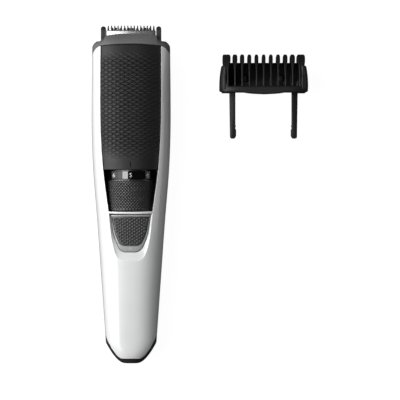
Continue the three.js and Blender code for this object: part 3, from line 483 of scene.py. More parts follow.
# Pieces whose finish differs from the rest of their slot.
KNURL = moulded("dial_plastic", grey(0.01), 0.36, grain=0.003, spread=0.04, shine=0.95)
# Black ink for the index mark; the same look paints the shade in the dial's liner.
INK_AND_SHADE_BLACK = moulded("index_ink_and_painted_shade", grey(0.003), 0.8, grain=0.002, shine=0.1)
HEAD_BLACK = moulded("head_plastic", grey(0.03), 0.38, grain=0.004, spread=0.05, shine=0.35)
PAD_GREY = moulded("pad_plastic", grey(0.05), 0.32, grain=0.003, spread=0.05, shine=0.6)
NUMERAL_WHITE = moulded("numeral_ink", grey(0.6), 0.45, grain=0.002, spread=0.05)
# A darker copy of the blade steel: painted shade for the cutter lying under the guard's teeth.
SHADED_CUTTER_STEEL = metal("cutter_steel_painted_shade_look", (0.2, 0.2, 0.205), 0.34, (1, 14, 1))

for entry in frame["record"]["subparts"]:
    carried = frame["nodes"][entry["node"]]
    carried.data.materials.clear()
    carried.data.materials.append(SLOT_LOOK[entry["material_slot"]])

# ---- front shell

WINDOW_HALF = 16.0
SIDE_FROM = 62.0  # above this station of the window's edge, the shell's rows end on the side seam
SEAM_FROM, SEAM_TO = 22.0, 163.6
CORNER_SHARE = 0.12  # of the rows below, which end on the seam's last stretch before the corner
SEAM_LIP = 0.06
WINDOW_WALL = 2.2
ROWS_LENGTH, COLLAR_EASE = 44, 26.0


def outline_normals(points):
    """Unit vectors that point out of an outline's right half, listed from the bottom middle upwards."""
    step = np.gradient(points, axis=0)
    step[0] = (1, 0)
    length = np.linalg.norm(step, axis=1, keepdims=True)
    return np.stack([step[:, 1], -step[:, 0]], 1) / length


def resampled(points, spacing):
    """The same line with points evenly spaced along it."""
    run = np.concatenate([[0], np.cumsum(np.linalg.norm(np.diff(points, axis=0), axis=1))])
    at = np.linspace(0, run[-1], int(run[-1] / spacing) + 1)
    return np.stack([np.interp(at, run, points[:, k]) for k in (0, 1)], 1)


def ray_hit(outline, centre, direction):
    """Where rays from the centre leave an outline given as a half line that starts on the centre line."""
    bearing = np.arctan2(outline[:, 0], -(outline[:, 1] - centre))
    wanted = np.arctan2(direction[:, 0], -direction[:, 1])
    reach = np.hypot(outline[:, 0], outline[:, 1] - centre)
    order = np.argsort(bearing)
    far = np.interp(wanted, bearing[order], reach[order])
    return np.stack([far * np.sin(wanted), centre - far * np.cos(wanted)], 1)


def front_shell():
    edge = resampled(WINDOW_CURVE, 0.5)
    edge = edge[edge[:, 1] < collar_line(WINDOW_HALF) - GAP]
    edge[0, 0] = 0
    rim = edge + EDGE_ROUND * outline_normals(edge)  # where the rounding starts
    rim[0, 0] = 0

    # The recess round the button: a sloping wall down to the hole.
    recess_top = BRIDGE_FROM - 0.1
    hole = spline(BUTTON_KNOTS, 200)
    hole = hole + GAP * outline_normals(hole)
    hole[0, 0] = 0
    hole = np.vstack([hole, [hole[-1, 0] + 0.1, BRIDGE_TO + 1]])
    in_recess = 1 - smooth(recess_top - 0.4, recess_top + 0.4, edge[:, 1])
    foot = ray_hit(hole, BUTTON_MIDDLE, edge - [0, BUTTON_MIDDLE])
    foot = np.where(in_recess[:, None] > 0.5, foot, edge)
    inner = edge + (foot - edge) * in_recess[:, None]
    depth = EDGE_ROUND + (RECESS_DEPTH - EDGE_ROUND) * in_recess

    # The outer boundary: down the seam, round the corner and along the end cap's line to the middle.
    corner_along = 14.0
    for _ in range(30):
        corner_along = float(cap_line(half_width(corner_along)))
    top = edge[-1, 1]
    seam_top = float(collar_line(half_width(SEAM_TO))) - GAP
    bound_along = np.interp(edge[:, 1], [SIDE_FROM, top], [SEAM_FROM, seam_top])
    bound_angle = np.zeros(len(edge))
    bottom = np.where(edge[:, 1] <= SIDE_FROM)[0]
    share = 1 - np.arange(len(bottom)) / len(bottom)  # 1 at the middle, 0 where the side starts
    turn = smooth(0.0, 1.0, np.clip((share - CORNER_SHARE) / (1 - CORNER_SHARE), 0, 1)) * math.pi / 2
    reach = np.cos(turn) ** (2 / SECTION_POWER)
    along = settled(np.full(len(bottom), 10.0), lambda y: cap_line(half_width(y) * reach) + GAP)
    corner_run = (corner_along + GAP - SEAM_FROM) * share / CORNER_SHARE
    bound_along[bottom] = np.where(share < CORNER_SHARE, SEAM_FROM + corner_run, along)
    bound_angle[bottom] = np.where(share < CORNER_SHARE, 0, turn)

    # The face: rows of points from that boundary (v is 0) up to the window's rim (v is 1).
    rim_angle = angle_at(rim[:, 0], rim[:, 1])[:, None]
    start, start_along = bound_angle[:, None], bound_along[:, None]
    weight = smooth(top - COLLAR_EASE, top, edge[:, 1])[:, None]
    v = np.linspace(0, 1, ROWS_LENGTH)

    def rows(at):
        return start + (rim_angle - start) * (at**1.35), start_along + (rim[:, 1:] - start_along) * at**1.1

    angle, along = (row[-1] for row in rows(v))
    x = half_width(along) * np.abs(np.cos(angle)) ** (2 / SECTION_POWER)
    to_collar = collar_line(x) - GAP - along

    def face(at, inset):
        angle, along = rows(at)
        return body_point(angle, along + np.interp(at, v, to_collar) * weight, inset)

    outer = face(v, SEAM_LIP * (1 - np.minimum(1, v / 0.012)))

    rounding = [
        on_front(rim + (edge - rim) * math.sin(phi), EDGE_ROUND * (1 - math.cos(phi)))
        for phi in np.linspace(0, math.pi / 2, 5)[1:]]
    slope = [
        on_front(edge + (inner - edge) * k, EDGE_ROUND + (depth - EDGE_ROUND) * k)
        for k in (0.33, 0.66, 0.96)]
    toe = on_front(inner, depth + 0.12)
    wall = on_front(inner, depth + WINDOW_WALL)
    back = np.linspace(1, 0, 10)
    inside = face(back, WALL + 1.1 * smooth(0.55, 0.95, back))
    inside[..., 0] = np.maximum(inside[..., 0], inner[:, :1])
    rings = np.concatenate([outer, np.stack([*rounding, *slope, toe, wall], 1), inside], axis=1)
    rings[0, :, 0] = np.where(np.abs(rings[0, :, 0]) < 1e-6, 0, rings[0, :, 0])
    rings = rings[::-1]  # from the top down to the middle
    rings[:, :, 2] = np.maximum(rings[:, :, 2], SEAM_Z + GAP / 2)
    left = rings[::-1][1:] * [-1, 1, 1]
    return swept("shell_front", np.concatenate([rings, left]))


BRIDGE_REACH, BRIDGE_SAG, BRIDGE_DEEP = 11.7, 0.25, 2.6


def shell_bridge():
    """The narrow bar between the dial and the button."""
    x = np.linspace(-BRIDGE_REACH, BRIDGE_REACH, 61)
    sag = BRIDGE_SAG * (1 - (x / BRIDGE_REACH) ** 2)
    half, r = (BRIDGE_TO - BRIDGE_FROM) / 2, 0.28
    profile = [(-half, -BRIDGE_DEEP), (-half, -r)]
    profile += [(-half + r - r * math.cos(t), -r + r * math.sin(t)) for t in np.linspace(0.3, 1.57, 4)]
    profile += [(-a, b) for a, b in profile[::-1]]
    middle = (BRIDGE_FROM + BRIDGE_TO) / 2
    rings = [[(cx, middle - cs + a, float(surface_z(cx, middle)) + b) for a, b in profile]
             for cx, cs in zip(x, sag)]
    return swept("shell_bridge", rings)


show(front_shell(), "casing", "shell_white", "front_shell")
show(shell_bridge(), "casing", "shell_white", "front_shell")

# ---- rear shell and end cap

HEAD_WAY_HALF, HEAD_WAY_FROM = 13.3, 163.4  # the notch at the top of the back, where the head tilts
REAR_SEAM_LIP = 0.2


def rear_shell():
    turn = np.linspace(0, 1, 181)
    angle = math.pi + math.pi * turn[None, :]
    v = np.concatenate([[0, 0.0006, 0.0014], np.linspace(0.003, 0.997, 240), [0.9986, 0.9994, 1]])[:, None]

    def upper_edge(y):
        x = body_point(angle, y)[..., 0]
        notch = smooth(HEAD_WAY_HALF - 0.25, HEAD_WAY_HALF + 0.25, np.abs(x))
        return HEAD_WAY_FROM + (collar_line(x) - GAP - HEAD_WAY_FROM) * notch

    low = settled(np.full(angle.shape, 8.0), lambda y: cap_line(body_point(angle, y)[..., 0]) + GAP)
    high = settled(np.full(angle.shape, 167.0), upper_edge)
    along = low + (high - low) * v
    run = (along - low) * (v < 0.5) + (high - along) * (v >= 0.5)
    ease = np.clip(1 - run / EDGE_ROUND, 0, 1)
    seam = np.clip(1 - np.minimum(turn, 1 - turn)[None, :] / 0.004, 0, 1)
    inset = EDGE_ROUND * (1 - np.sqrt(1 - ease**2)) + REAR_SEAM_LIP * seam
    top = body_point(angle, along, inset)
    bottom = body_point(angle, along, WALL)
    for grid in (top, bottom):
        grid[..., 2] = np.minimum(grid[..., 2], SEAM_Z - GAP / 2)
    return slab("shell_rear", top, bottom, UNDERSIDE_STRIDE)


INLET = (-3, 3), (-3, 12), (10.5, 15.5)


def end_cap():
    turn = full_turn(200) + 0.0005
    top = settled(np.full(turn.shape, 8.0), lambda y: cap_line(body_point(turn, y)[..., 0]))
    # Each ring is (along, inset): in round the bottom edge, up the skin, in over the rim and down inside.
    rings = [(0 * top, 0.55), (0 * top + 0.12, 0.12)]
    rings += [(top * v, 0.0) for v in np.linspace(0.03, 1, 24)[:-1] ** 1.5]
    rings += [(top - 0.2, 0.0), (top, EDGE_ROUND), (top, WALL)]
    rings += [(np.maximum(top * v, 3.0), WALL + 0.4) for v in (0.6, 0.35)]
    body = swept("cap_end", [body_point(turn, along, inset) for along, inset in rings])
    return combine(body, [rounded_box("mouth", *INLET, 0.5)], "DIFFERENCE")


show(rear_shell(), "casing", "shell_black", "rear_shell")
show(end_cap(), "casing", "shell_black", "end_cap")

# ---- grip panel

LOZENGE_X, LOZENGE_Y = 4.3, 2.42
GROOVE_DEPTH = 0.42
GROOVE_WIDTH = 0.2  # of a lozenge, to each side
PANEL_TO, PANEL_ROUND = 168.55, 0.3
GROOVES_GROW, GROOVES_FADE = (105.5, 117), (158, 165.5)
INDEX_FROM, INDEX_TO, INDEX_HALF = 103.6, 106.2, 0.25
INDEX_PROUD = 0.012


def groove(phase):
    """1 at the bottom of a groove that lies on each whole number, 0 on the land between grooves."""
    return 1 - smooth(0.02, GROOVE_WIDTH, np.abs(phase - np.round(phase)))


def grip_panel():
    along = np.concatenate([
        PANEL_FROM + np.array([0, 0.05, 0.15]), np.linspace(PANEL_FROM + 0.3, 168.0, 400),
        [168.2, 168.35, 168.5, PANEL_TO]])[:, None]
    u = np.concatenate([[-1, -0.998, -0.993], np.linspace(-0.985, 0.985, 220), [0.993, 0.998, 1]])[None, :]
    limit = window_half(along) - GAP
    x = u * limit
    y = along - (PANEL_TO - (collar_line(x) - GAP)) * smooth(150, PANEL_TO, along)
    side = np.clip(1 - (1 - np.abs(u)) * limit / PANEL_ROUND, 0, 1)
    ends = np.clip(1 - np.minimum(along - PANEL_FROM, PANEL_TO - along) / PANEL_ROUND, 0, 1)
    drop = PANEL_ROUND * (1 - np.sqrt(1 - np.maximum(side, ends) ** 2))
    worked = smooth(*GROOVES_GROW, y) * (1 - smooth(*GROOVES_FADE, y)) * (1 - smooth(0.955, 0.995, np.abs(u)))
    across, up = x / LOZENGE_X, y / LOZENGE_Y
    cut = np.maximum(groove(across + up), groove(across - up))
    z = surface_z(x, y) - drop - GROOVE_DEPTH * worked * cut
    top = np.stack([x, y, z], -1)
    bottom = np.stack([x, y, surface_z(x, y) - WALL], -1)
    return slab("panel_grip", top, bottom, UNDERSIDE_STRIDE)


def index_mark():
    """A dark filled line, just proud of the panel."""
    along = np.linspace(INDEX_FROM, INDEX_TO, 12)[:, None]
    x, y = np.broadcast_arrays(np.linspace(-INDEX_HALF, INDEX_HALF, 5)[None, :], along)
    z = surface_z(x, y)
    return slab("index_mark", np.stack([x, y, z + INDEX_PROUD], -1), np.stack([x, y, z - 0.3], -1))


show(grip_panel(), "casing", "grip", "grip_panel", smooth_angle=0)
show(index_mark(), "casing", "grip", "grip_panel", look=INK_AND_SHADE_BLACK)

# ---- dial

NUMERALS = range(1, 11)
NUMERAL_AT_REST = 5
NUMERAL_HEIGHT, NUMERAL_PROUD = 2.25, 0.015
SCALE_ROUND = 0.25
# how far the painted-shade liner beside the dial reaches in under the window's edge, and out beyond it
LINER_IN, LINER_OUT = 0.75, 0.3
KNURLS = 54
KNURL_PITCH = 1.72
KNURL_DEPTH = 0.42
KNURL_FLANK = 0.38  # of a half pitch


def round_dial(radius, turn, along):
    """Points at a radius and an angle round the dial's axis."""
    return np.stack(np.broadcast_arrays(radius * np.sin(turn), along, DIAL_Z + radius * np.cos(turn)), -1)


def length_dial():
    """The knurled drum, with its seat for the scale and its sleeve."""
    turn = full_turn(KNURLS * 8)[:, None]
    band = np.linspace(DIAL_FROM + 0.5, BAND_END - 0.3, 94)
    outside = [(GRIP_RADIUS - 0.5, DIAL_FROM), (GRIP_RADIUS - 0.15, DIAL_FROM + 0.12)]
    outside += [(GRIP_RADIUS, y) for y in band] + [(GRIP_RADIUS - 0.1, BAND_END)]
    rest = [
        (SEAT_RADIUS, BAND_END), (SEAT_RADIUS, SEAT_END), (SLEEVE_RADIUS, SEAT_END),
        (SLEEVE_RADIUS, DIAL_END), (BORE_RADIUS, DIAL_END), (BORE_RADIUS, DIAL_FROM)]
    r, y = np.array(outside + rest).T[:, None, :]
    knurled = ((y >= band[0]) & (y <= band[-1]) & (r > SEAT_RADIUS + 1)).astype(float)
    knurled = knurled * smooth(band[0] - 0.01, band[0] + 0.4, y) * (1 - smooth(band[-1] - 0.4, band[-1], y))
    round_share = turn * KNURLS / (2 * math.pi)
    one, two = round_share + y / KNURL_PITCH, round_share - y / KNURL_PITCH
    peak = 2 * np.minimum(np.abs(one - np.round(one)), np.abs(two - np.round(two)))
    radius = r - KNURL_DEPTH * knurled * (1 - smooth(0.0, KNURL_FLANK, peak))
    return swept("dial_drum", round_dial(radius, turn, y), closed_sweep=True)


def scale_ring():
    r = SCALE_ROUND
    low, high = SEAT_RADIUS + 0.2, SCALE_RADIUS
    arc = np.linspace(0, math.pi / 2, 5)
    flat = [SCALE_FROM + r + 0.03, SCALE_TO - r - 0.03]  # these keep the shading of the flat band straight
    profile = [(low, SCALE_FROM)]
    profile += [(high - r + r * math.sin(t), SCALE_FROM + r - r * math.cos(t)) for t in arc]
    profile += [(high, y) for y in np.linspace(*flat, 4)]
    profile += [(high - r + r * math.cos(t), SCALE_TO - r + r * math.sin(t)) for t in arc]
    profile += [(low, SCALE_TO)]
    radius, along = np.array(profile).T
    return swept("dial_scale", round_dial(radius, full_turn(256)[:, None], along), closed_sweep=True)


def dial_surround(side):
    """A matte black liner under the window's edge: painted shade that fills the gap beside the dial."""
    along = np.linspace(BRIDGE_TO + 0.1, PANEL_FROM + 1.0, 60)
    edge = window_half(along)
    foot = edge - LINER_IN
    low = DIAL_Z + np.sqrt((SCALE_RADIUS + 0.3) ** 2 - foot**2)
    top = surface_z(edge, along) - EDGE_ROUND
    profile = [
        (edge + LINER_OUT, top), (edge - 0.05, top - 0.02), (edge - 0.35, top - 0.4), (foot, low + 0.12),
        (foot, low), (edge + LINER_OUT, low)]
    rings = np.stack([np.stack([side * x, along, z], 1) for x, z in profile], 1)
    return swept("dial_surround_" + SIDE_NAME[side], rings)


def numeral(value):
    """One white numeral, wrapped round the scale ring."""
    curve = bpy.data.curves.new(f"text_{value}", "FONT")
    curve.body = str(value)
    curve.align_x = "CENTER"
    curve.align_y = "CENTER"
    curve.size = NUMERAL_HEIGHT / 0.7
    curve.offset = 0.02
    curve.extrude = 0.04
    curve.resolution_u = 6
    text = linked(f"text_{value}", curve)
    mesh = evaluated_mesh(text)
    bpy.data.objects.remove(text)
    points = np.array([v.co for v in mesh.vertices])
    points[:, :2] -= (points[:, :2].max(0) + points[:, :2].min(0)) / 2
    faces = [list(p.vertices) for p in mesh.polygons]
    bpy.data.meshes.remove(mesh)
    middle = math.radians(36 * (NUMERAL_AT_REST - value))
    turn = middle + points[:, 0] / SCALE_RADIUS
    radius = SCALE_RADIUS - 0.02 + (points[:, 2] > 0) * (NUMERAL_PROUD + 0.02)
    where = round_dial(radius, turn, (SCALE_FROM + SCALE_TO) / 2 + points[:, 1])
    return new_mesh(f"numeral_{value:02d}", where, faces)


show(length_dial(), "dial", "grip", "length_dial", look=KNURL, smooth_angle=50)
show(scale_ring(), "dial", "gloss_black", "scale_ring")
for value in NUMERALS:
    show(numeral(value), "dial", "shell_white", "scale_ring", look=NUMERAL_WHITE, smooth_angle=30)
# Matte black liners in the window's gaps beside the dial: painted shade, not a part of the trimmer.
for side in (1, -1):
    show(dial_surround(side), "casing", "grip", look=INK_AND_SHADE_BLACK)

# ---- button

BUTTON_ROUND, BUTTON_SUNK = 0.6, 1.15
BUTTON_BASE, POCKET_FLOOR = 3.2, 2.0  # below the front face
PAD_ROUND = 0.22
BUMP_X, BUMP_Y, BUMP_HEIGHT = 2.5, 1.7, 0.5


def half_outline(knots, top, grow=0.0):
    """The right half of a plan outline, from the bottom middle up to a straight top."""
    line = spline(knots, 300)
    if line[-1, 1] < top:
        run = line[-1] - line[-2]
        line = np.vstack([line, line[-1] + run * (top - line[-1, 1]) / run[1]])
    line = line + grow * outline_normals(line)
    line[0, 0] = 0
    line = line[line[:, 1] <= top]
    line = np.vstack([line, [line[-1, 0], top]])
    return resampled(line, 0.3)


def closed_outline(half):
    """The full outline, counter-clockwise."""
    return np.vstack([half, (half * [-1, 1])[::-1][:-1]])


def outline_hit(points, centre, angle):
    """Where a ray from the centre leaves a closed outline."""
    d = np.array([math.cos(angle), math.sin(angle)])
    a, b = points - centre, np.roll(points, -1, axis=0) - centre
    e = b - a
    cross = d[0] * e[:, 1] - d[1] * e[:, 0]
    with np.errstate(divide="ignore", invalid="ignore"):
        far = (a[:, 0] * e[:, 1] - a[:, 1] * e[:, 0]) / cross
        share = (a[:, 0] * d[1] - a[:, 1] * d[0]) / cross
    good = (far > 0) & (share >= -1e-9) & (share <= 1 + 1e-9)
    return centre + d * far[good].min()


def button_frame():
    centre = np.array([0.0, 70.0])
    turn = full_turn(240) - math.pi / 2
    rim, hole = (
        np.array([outline_hit(closed_outline(half), centre, t) for t in turn])
        for half in (half_outline(BUTTON_KNOTS, BUTTON_TOP), half_outline(PAD_KNOTS, PAD_TOP, 0.15)))
    width = np.linalg.norm(hole - rim, axis=1, keepdims=True)
    inward = (hole - rim) / width
    middle = 0 * rim + centre
    r, top = BUTTON_ROUND, BUTTON_SUNK
    round_in = inward * np.minimum(r, 0.7 * width)
    rings = [
        (middle, BUTTON_BASE), (centre + (rim - centre) * 0.5, BUTTON_BASE),
        (rim, BUTTON_BASE), (rim, top + r)]
    rings += [
        (rim + round_in * (1 - math.cos(phi)), top + r - r * math.sin(phi))
        for phi in np.linspace(0, math.pi / 2, 7)[1:]]
    rings += [(hole - inward * 0.06, top + 0.02), (hole, top + 0.15), (hole, POCKET_FLOOR)]
    rings += [(centre + (hole - centre) * 0.5, POCKET_FLOOR), (middle, POCKET_FLOOR)]
    return swept("button_body", [on_front(plan, below) for plan, below in rings])


def button_pad():
    edge = half_outline(PAD_KNOTS, PAD_TOP)
    low = edge[0, 1] + 0.05
    rows = np.concatenate([[0, 0.004, 0.012], np.linspace(0.02, 0.985, 130), [0.992, 0.997, 1]])
    along = (low + (PAD_TOP - low) * rows)[:, None]
    monotone = np.maximum.accumulate(edge[:, 1]) + np.arange(len(edge)) * 1e-6
    limit = np.interp(along, monotone, edge[:, 0])
    u = np.concatenate([[-1, -0.99, -0.975], np.linspace(-0.955, 0.955, 150), [0.975, 0.99, 1]])[None, :]
    x = u * limit
    y = np.broadcast_to(along, x.shape)
    inside = np.minimum(np.minimum((1 - np.abs(u)) * limit, y - low), PAD_TOP - y)
    drop = PAD_ROUND * (1 - np.sqrt(1 - np.clip(1 - inside / PAD_ROUND, 0, 1) ** 2))

    def from_bump(shift):
        """How far the nearest bump is, in a grid shifted by this share of its pitch."""
        across, up = x / BUMP_X - shift, y / BUMP_Y - shift
        return np.hypot((across - np.round(across)) * BUMP_X, (up - np.round(up)) * BUMP_Y)

    dome = 1 - smooth(0.1, 0.85, np.minimum(from_bump(0), from_bump(0.5)))
    height = BUMP_HEIGHT * dome * smooth(0.4, 1.1, inside)
    z = surface_z(x, y) - BUTTON_SUNK - 0.1 - drop + height
    top = np.stack([x, y, z], -1)
    bottom = np.stack([x, y, surface_z(x, y) - BUTTON_SUNK - 0.7], -1)
    return slab("button_pad_face", top, bottom, UNDERSIDE_STRIDE)


def light_dot():
    """The light pipe, with a low dome just proud of the button."""
    along = sum(corner[1] for corner in frame_mm("light_pipe")) / 2 + ORIGIN_ALONG
    z = float(surface_z(0.0, along))
    profile = [(0.9, 4.0)] + [
        (r, BUTTON_SUNK - proud) for r, proud in ((0.9, -0.05), (0.82, 0.03), (0.4, 0.045), (0.02, 0.05))]
    rings = [
        [(r * math.cos(t), along + r * math.sin(t), z - below) for t in full_turn(32)]
        for r, below in profile]
    return swept("light_dot", rings)


show(button_frame(), "button", "button_grey", "button_frame")
show(button_pad(), "button", "grip", "button_pad", look=PAD_GREY, smooth_angle=60)
show(light_dot(), "button", "clear_plastic", "light_pipe")

# ---- collar and cutting head

LIP_Z, LIP_HALF, LIP_FROM, LIP_CORNER = 20.8, 13.4, 166.0, 2.6
LIP_TOP = BODY_LENGTH + 0.3
WELL_HALF = 14.1
DECK = 170.3
ARM_SLOT = {"x": (14.2, 18.8), "z": (11.3, 16.3)}
HINGE_ALONG, HINGE_Z = 166.2, 6.7
HINGE_BARREL, HINGE_PIN, HINGE_EAR = 1.5, 0.8, 2.5
HINGE_REACH, PIN_END = 13.0, 11.2
BACK_HALF, BACK_FROM, BACK_TO = 9.0, 167.2, 173.2
BACK_ROOM_HALF = 14.25
SKIN_ROUND, SKIN_DEEP, SKIN_GAP = 0.25, 0.5, 0.12
HEAD_HALF, HEAD_FLOOR, HEAD_TOP = 16.0, 9.6, 17.1


def form(name, low, high, inset=0.0, half=None):
    """A solid slice of the body's form between two stations."""
    return swept(name, [body_point(full_turn(220), y, inset, half) for y in np.linspace(low, high, 14)])


def rod(name, radius, x, along, z):
    """A round bar across the trimmer."""
    section = [(along + radius * math.cos(t), z + radius * math.sin(t)) for t in full_turn(32)]
    return swept(name, [[(at, *point) for point in section] for at in x])


def hinge_rod(name, radius, x):
    return rod(name, radius, x, HINGE_ALONG, HINGE_Z)


def mirrored(side, span):
    return span if side > 0 else (-span[1], -span[0])


def lip_line(x):
    return LIP_TOP - 0.006 * x * x


def collar_skin():
    """The collar's outer surface: one thin wall swept round from the back's right side to its left."""
    back = math.acos((BACK_ROOM_HALF / half_width(DECK)) ** (SECTION_POWER / 2))
    turn = np.linspace(-back, math.pi + back, 560)[:, None]
    wide = half_width(LIP_FROM)
    x = wide * np.sign(np.cos(turn)) * np.abs(np.cos(turn)) ** (2 / SECTION_POWER)
    front = np.sin(turn) > 0
    lip = np.clip((LIP_HALF + LIP_CORNER - np.abs(x)) / LIP_CORNER, 0, 1) * front
    spread = (1 - smooth(LIP_HALF, LIP_HALF + 4, np.abs(x))) * front
    low = settled(np.full(turn.shape, 168.0), lambda y: collar_line(body_point(turn, y)[..., 0]))
    high = DECK + (lip_line(x) - DECK) * lip
    r = SKIN_ROUND
    sink, lift = r - r * np.cos(QUARTER), r - r * np.sin(QUARTER)
    inset = np.concatenate([[SKIN_DEEP], lift, np.zeros(9), lift[::-1], [SKIN_DEEP]])[None, :]
    rows = np.linspace(0, 1, 11)[1:-1][None, :]
    between = low + r + (high - low - 2 * r) * rows
    along = np.concatenate([low, low + sink, between, high - sink[::-1], high], axis=1)
    natural = half_width(along)
    half = natural + (wide - natural) * spread * smooth(LIP_FROM, LIP_FROM + 1.5, along)
    return swept("collar_skin", body_point(turn, along, inset, half))


def collar():
    ring = form("collar_ring", 158, BODY_LENGTH, SKIN_GAP)
    """The body of the collar under its skin, with the head's well, the comb's slots and the hinge's ears."""
    x = np.linspace(-LIP_HALF, LIP_HALF, 41) * 0.985
    outline = [(x[0], LIP_FROM), (x[-1], LIP_FROM), *zip(x[::-1], lip_line(x[::-1]) - SKIN_GAP)]
    lip = form("lip", LIP_FROM, LIP_TOP, SKIN_GAP, half_width(LIP_FROM))
    combine(lip, [plate("lip_cut", outline, LIP_Z, 40)], "INTERSECT")
    lip_room = rounded_box("lip_room", (-LIP_HALF, LIP_HALF), (LIP_FROM, 190), (LIP_Z, 45), 0)
    combine(ring, [lip_room], "DIFFERENCE")
    combine(ring, [lip])
    x = np.linspace(-24, 24, 97)
    skirt = plate("skirt", [(-24, 140), (24, 140), *zip(x[::-1], collar_line(x)[::-1] + SKIN_GAP)], -5, 45)
    combine(ring, [skirt], "DIFFERENCE")
    combine(ring, [form("spigot", 158, 168.6, WALL + GAP)])
    cuts = [
        form("hollow", 157, 162, WALL + GAP + 1.3),
        rounded_box("well", (-WELL_HALF, WELL_HALF), (164.5, 180), (9.2, LIP_Z), 0),
        rounded_box("cheeks", (-HEAD_HALF - 0.3, HEAD_HALF + 0.3), (168.4, 180), (14.8, LIP_Z), 0),
        rounded_box("deck", (-30, 30), (DECK - 0.05, 190), (-5, LIP_Z), 0),
        rounded_box("back_way", (-BACK_HALF - 0.3, BACK_HALF + 0.3), (HINGE_ALONG - 2.2, 190), (-5, 10), 0),
        rounded_box("back_room", (-WELL_HALF, WELL_HALF), (HINGE_ALONG, 190), (-5, 10.05), 0),
    ]
    combine(ring, cuts, "DIFFERENCE")
    for side in (1, -1):
        combine(ring, [hinge_rod("ear", HINGE_EAR, mirrored(side, (BACK_HALF + 0.3, HINGE_REACH)))])
        pivot = hinge_rod("pivot", HINGE_PIN + 0.3, mirrored(side, (BACK_HALF - 1, PIN_END + 0.4)))
        slot = rounded_box("slot", mirrored(side, ARM_SLOT["x"]), (150, 180), ARM_SLOT["z"], 0.4)
        combine(ring, [pivot, slot], "DIFFERENCE")
    ring.name = "collar_core"
    return soften(ring, 0.25, 2)


HORN_INNER, HORN_LOW, HORN_HIGH, HORN_FROM, HORN_TIP = 13.3, 15.5, 20.3, 168.8, 178.3


def head_frame():
    width = (-BACK_HALF, BACK_HALF)
    block = rounded_box("head_block", (-13.8, 13.8), (165, BACK_TO), (HEAD_FLOOR, HEAD_TOP), 0.4)
    cover = form("cover", BACK_FROM, BACK_TO)
    combine(cover, [rounded_box("cover_cut", width, (160, 180), (-5, HEAD_FLOOR + 0.1), 0)], "INTERSECT")
    parts = [
        cover,
        hinge_rod("barrel", HINGE_BARREL, width),
        rounded_box("web", width, (HINGE_ALONG - 0.2, 168), (HINGE_Z + 0.5, HEAD_FLOOR + 0.1), 0),
    ]
    middle = (HORN_LOW + HORN_HIGH) / 2
    reach = (HORN_HIGH - HORN_LOW) / 2
    arc = np.linspace(-math.pi / 2, math.pi / 2, 17)
    tip = [(HORN_TIP - reach + reach * math.cos(t), middle + reach * math.sin(t)) for t in arc]
    outline = [(HORN_FROM, HORN_LOW), *tip, (HORN_FROM, HORN_HIGH)]
    half = (HEAD_HALF - HORN_INNER) / 2
    for side in (1, -1):
        x = mirrored(side, (HORN_INNER, HEAD_HALF))
        horn = plate("horn", outline, *x, plane="yz")
        plan = [(sum(x) / 2 + half * math.sin(t), HORN_TIP - half + half * math.cos(t)) for t in arc]
        plan = [(x[0], HORN_FROM - 1), *plan, (x[1], HORN_FROM - 1)]
        rounded = plate("rounded", plan, HORN_LOW - 1, HORN_HIGH + 1)
        parts.append(combine(horn, [rounded], "INTERSECT"))
        parts.append(hinge_rod("pin", HINGE_PIN, mirrored(side, (BACK_HALF - 0.5, PIN_END))))
    combine(block, parts)
    combine(block, [rounded_box("cavity", (-6.8, 6.8), (160, 180), (12.4, 18), 0)], "DIFFERENCE")
    return soften(block, 0.2, 5)


def blade(name, half, back, root, tip, count, pitch, base, point, z, crown, thin):
    """A toothed plate with rounded tooth tips, a crowned face and teeth that thin towards their tips."""
    outline = [(half, root), (half, back), (-half, back), (-half, root)]
    r = point / 2
    arc = np.linspace(math.pi, 0, 7)
    for i in range(count):
        x = (i - (count - 1) / 2) * pitch
        outline.append((x - base / 2, root))
        outline += [(x + r * math.cos(t), tip - r + r * math.sin(t)) for t in arc]
        outline.append((x + base / 2, root))
    obj = plate(name, outline, *z, radius=0.035, segments=1)
    edges = (np.arange(count + 1) - count / 2) * pitch
    rows = [*np.linspace(back, root, 5)[1:-1], root - 0.5, root - 0.12, root + 0.12]
    rows += [*np.linspace(root, tip, 5)[1:-1]]
    sliced(obj, edges[1:-1], rows)

    def move(p):
        share = (p[2] - z[0]) / (z[1] - z[0])
        taper = thin * max(0.0, (p[1] - root) / (tip - root)) + crown * (p[0] / half) ** 2
        return p - [0, 0, share * taper]

    return reshape(obj, move)


def guard_blade():
    return blade(
        "blade_guard", half=13.05, back=167.5, root=175.9, tip=178.7, count=15, pitch=1.72, base=1.2,
        point=0.55, z=(18.6, 19.6), crown=0.5, thin=0.7)


def cutter_blade():
    return blade(
        "blade_cutter", half=11.4, back=169.8, root=176.2, tip=177.6, count=10, pitch=2.2, base=1.8,
        point=1.25, z=(17.35, 18.35), crown=0.0, thin=0.2)


show(collar(), "casing", "collar_grey", "collar")
show(collar_skin(), "casing", "collar_grey", "collar")
show(head_frame(), "head", "shell_black", "head_frame", look=HEAD_BLACK)
show(guard_blade(), "head", "blade_steel", "guard_blade", smooth_angle=30)
show(cutter_blade(), "cutter", "blade_steel", "cutter_blade", look=SHADED_CUTTER_STEEL, smooth_angle=30)

# ---- guide comb

